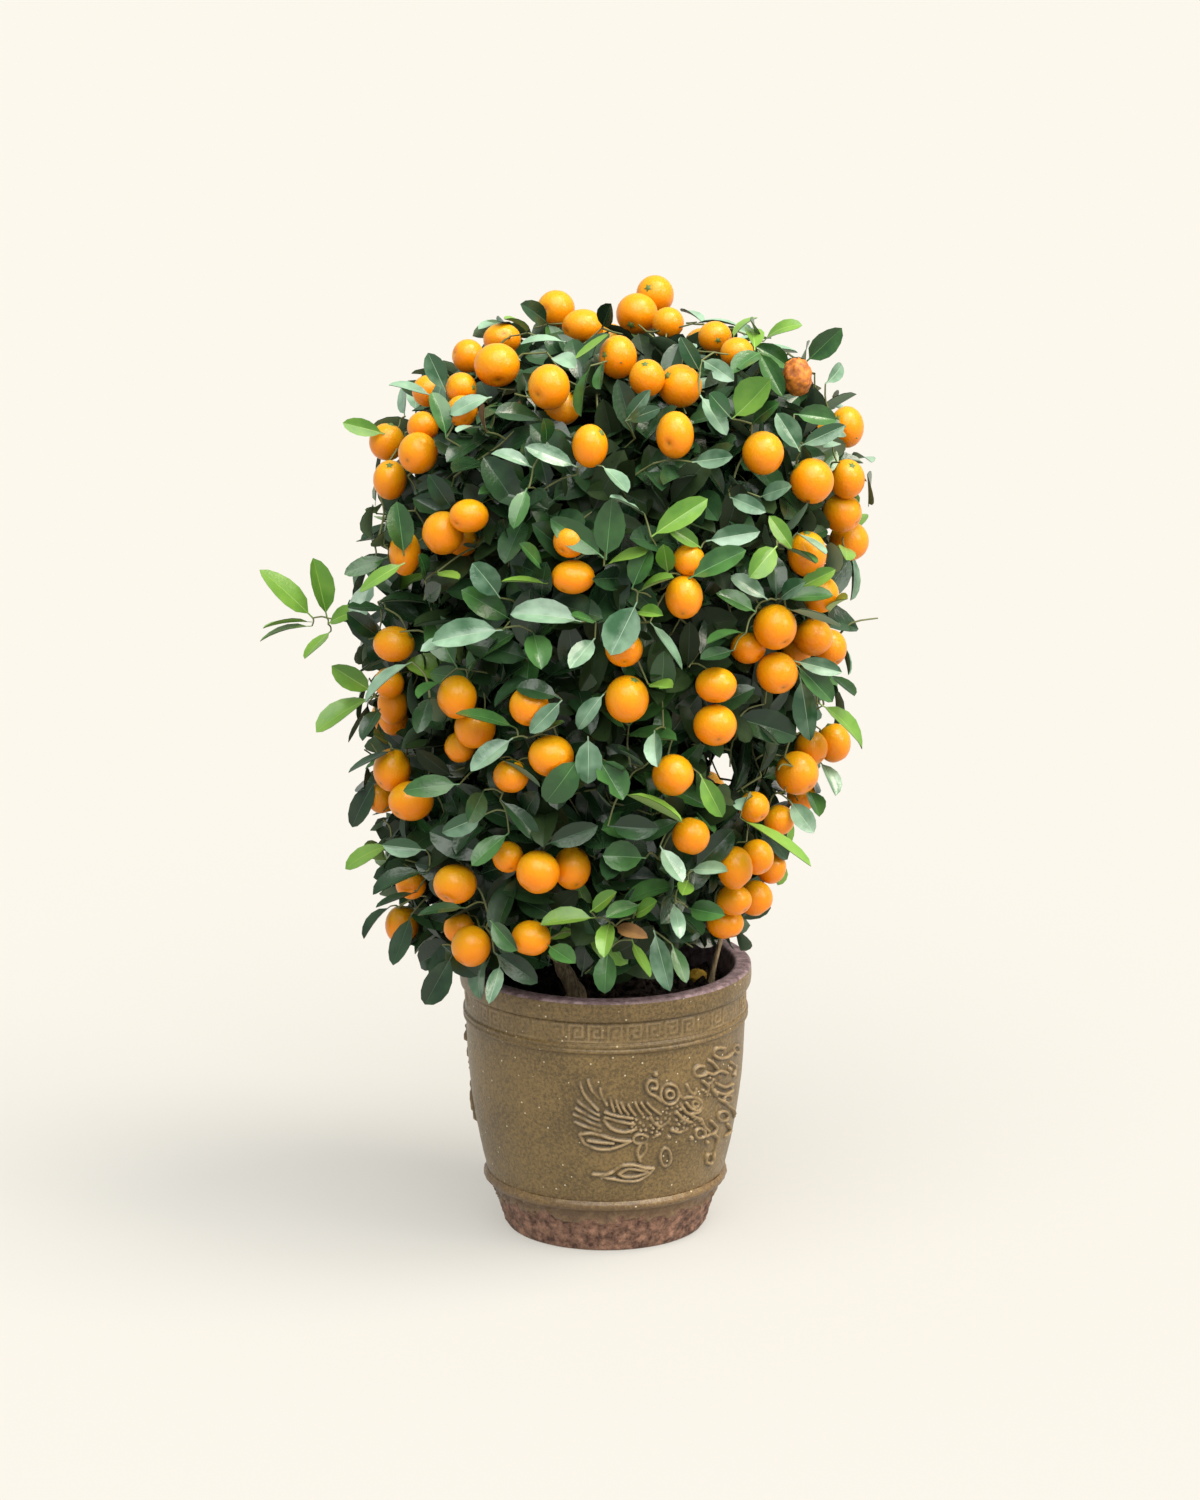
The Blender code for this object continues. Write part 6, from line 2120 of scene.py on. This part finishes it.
calyx_skin, _, _ = new_material("green_calyx", {"Base Color": linear(CALYX_COLOUR), "Roughness": 0.6})
star_turns = np.linspace(0.0, 2.0 * math.pi, STAR_CORNERS, endpoint=False)
star_reach = np.where(np.arange(STAR_CORNERS) % 2, STAR_NEAR, STAR_FAR)
star_rim = np.full(STAR_CORNERS, STAR_RIM)
star = np.stack([np.cos(star_turns) * star_reach, np.sin(star_turns) * star_reach, star_rim], axis=1)
star = np.concatenate([star, [[0.0, 0.0, STAR_HEART]]])
star_fan = [(index, (index + 1) % STAR_CORNERS, STAR_CORNERS) for index in range(STAR_CORNERS)]
print("a calyx has", len(star_fan), "triangles")

# %% Shape the fruit
# Each hangs by its own angle. The dimple at the far end is the deeper and narrower of the two
FRUIT_SEED = 5
HANG_OUTWARD = (0.3, 1.1)
HANG_SWAY = 0.6
HANG_DOWN = -0.7
DIMPLES = (0.03, 0.09)
END_DEEPER = 1.6
END_SPREAD, STALK_SPREAD = 0.24, 0.30


def axes_along(direction):
    """Three rows that turn +Z to a direction."""
    side = direction.orthogonal().normalized()
    return np.array([tuple(side), tuple(direction.cross(side)), tuple(direction)])


fruit_heap = Heap()
calyx_heap = Heap()
dice = random.Random(FRUIT_SEED)
for fruit in fruits:
    if fruit is wrinkled:
        continue
    outward = crown_outward(fruit.middle)
    sway = Vector((dice.uniform(-HANG_SWAY, HANG_SWAY), dice.uniform(-HANG_SWAY, HANG_SWAY), HANG_DOWN))
    axes = axes_along((outward * dice.uniform(*HANG_OUTWARD) + sway).normalized())
    size = np.array([fruit.half_width, fruit.reach(), fruit.half_height])
    dimple = dice.uniform(*DIMPLES)
    end_dimple = dimple * END_DEEPER * np.exp(-((polar / END_SPREAD) ** 2))
    radius = 1.0 - end_dimple - dimple * np.exp(-(((math.pi - polar) / STALK_SPREAD) ** 2))
    middle = np.array(fruit.middle)
    fruit_heap.add_quads((fruit_ball * radius[:, None]) @ axes * size + middle, fruit_corners)
    sizes, slots = np.full(STAR_CORNERS, 3), np.zeros(STAR_CORNERS)
    calyx_heap.add(star @ axes * size + middle, np.ravel(star_fan), sizes, slots)
fruit_mesh = fruit_heap.mesh("fruit")
mark_points(fruit_mesh, "scar", np.tile(scar_depths, len(fruit_mesh.vertices) // len(scar_depths)))
add_piece("fruit", fruit_mesh, [peel])
add_piece("calyxes", calyx_heap.mesh("calyxes"), [calyx_skin])

# %% [markdown]
# ## Fruit that dried
#
# One fruit shrivelled where it hangs, and another fell on the soil. Their peel is drawn into folds,
# dull and browner. A bump in the material wouldn't change the outline, so the ball itself is dented,
# by a broad noise and a fine one, and the same ball serves for both.

# %% Dried peel
DRIED_COLOURS = ("#93501A", "#D07A20")
FOLD_MM = 3.846
DRIED_LIMITS = (0.4, 0.62)
FALLEN_PEEL = "#C9A02C"

dried = two_tone(
    "dried_citrus_peel", {"Roughness": 0.6}, DRIED_COLOURS, FOLD_MM, {"Detail": 3.0}, DRIED_LIMITS
)
fallen_peel, _, _ = new_material("fallen_citrus_peel", {"Base Color": linear(FALLEN_PEEL), "Roughness": 0.7})

# %% Shape the dried fruit
# The folds' sizes are shares of the fruit; the fallen one is flattened where it lies
FALLEN_PLACE = (697, 976)
FALLEN_SIZE = 0.0085
FALLEN_SHAPE = (1.0, 0.9, 0.7)
DRIED_COLUMNS, DRIED_ROWS = 40, 28
FOLDS = ((0.42, 9, 0.16), (0.16, 10, 0.07))
SHRUNK = 0.97

dried_ball, dried_corners = ball(DRIED_COLUMNS, DRIED_ROWS)
dried_shape = dried_ball * (SHRUNK + layered(dried_ball, FOLDS))[:, None]
ray = sight(*FALLEN_PLACE)
fallen = VIEWPOINT + ray * ((SOIL_TOP + FALLEN_SIZE * 0.5 - VIEWPOINT.z) / ray.z)
size = np.array([wrinkled.half_width, wrinkled.reach(), wrinkled.half_height])
dried_heap = Heap()
dried_heap.add_quads(dried_shape * size + np.array(wrinkled.middle), dried_corners, 0)
dried_heap.add_quads(dried_shape * FALLEN_SHAPE * FALLEN_SIZE + np.array(fallen), dried_corners, 1)
add_piece("dried_fruit", dried_heap.mesh("dried_fruit"), [dried, fallen_peel])
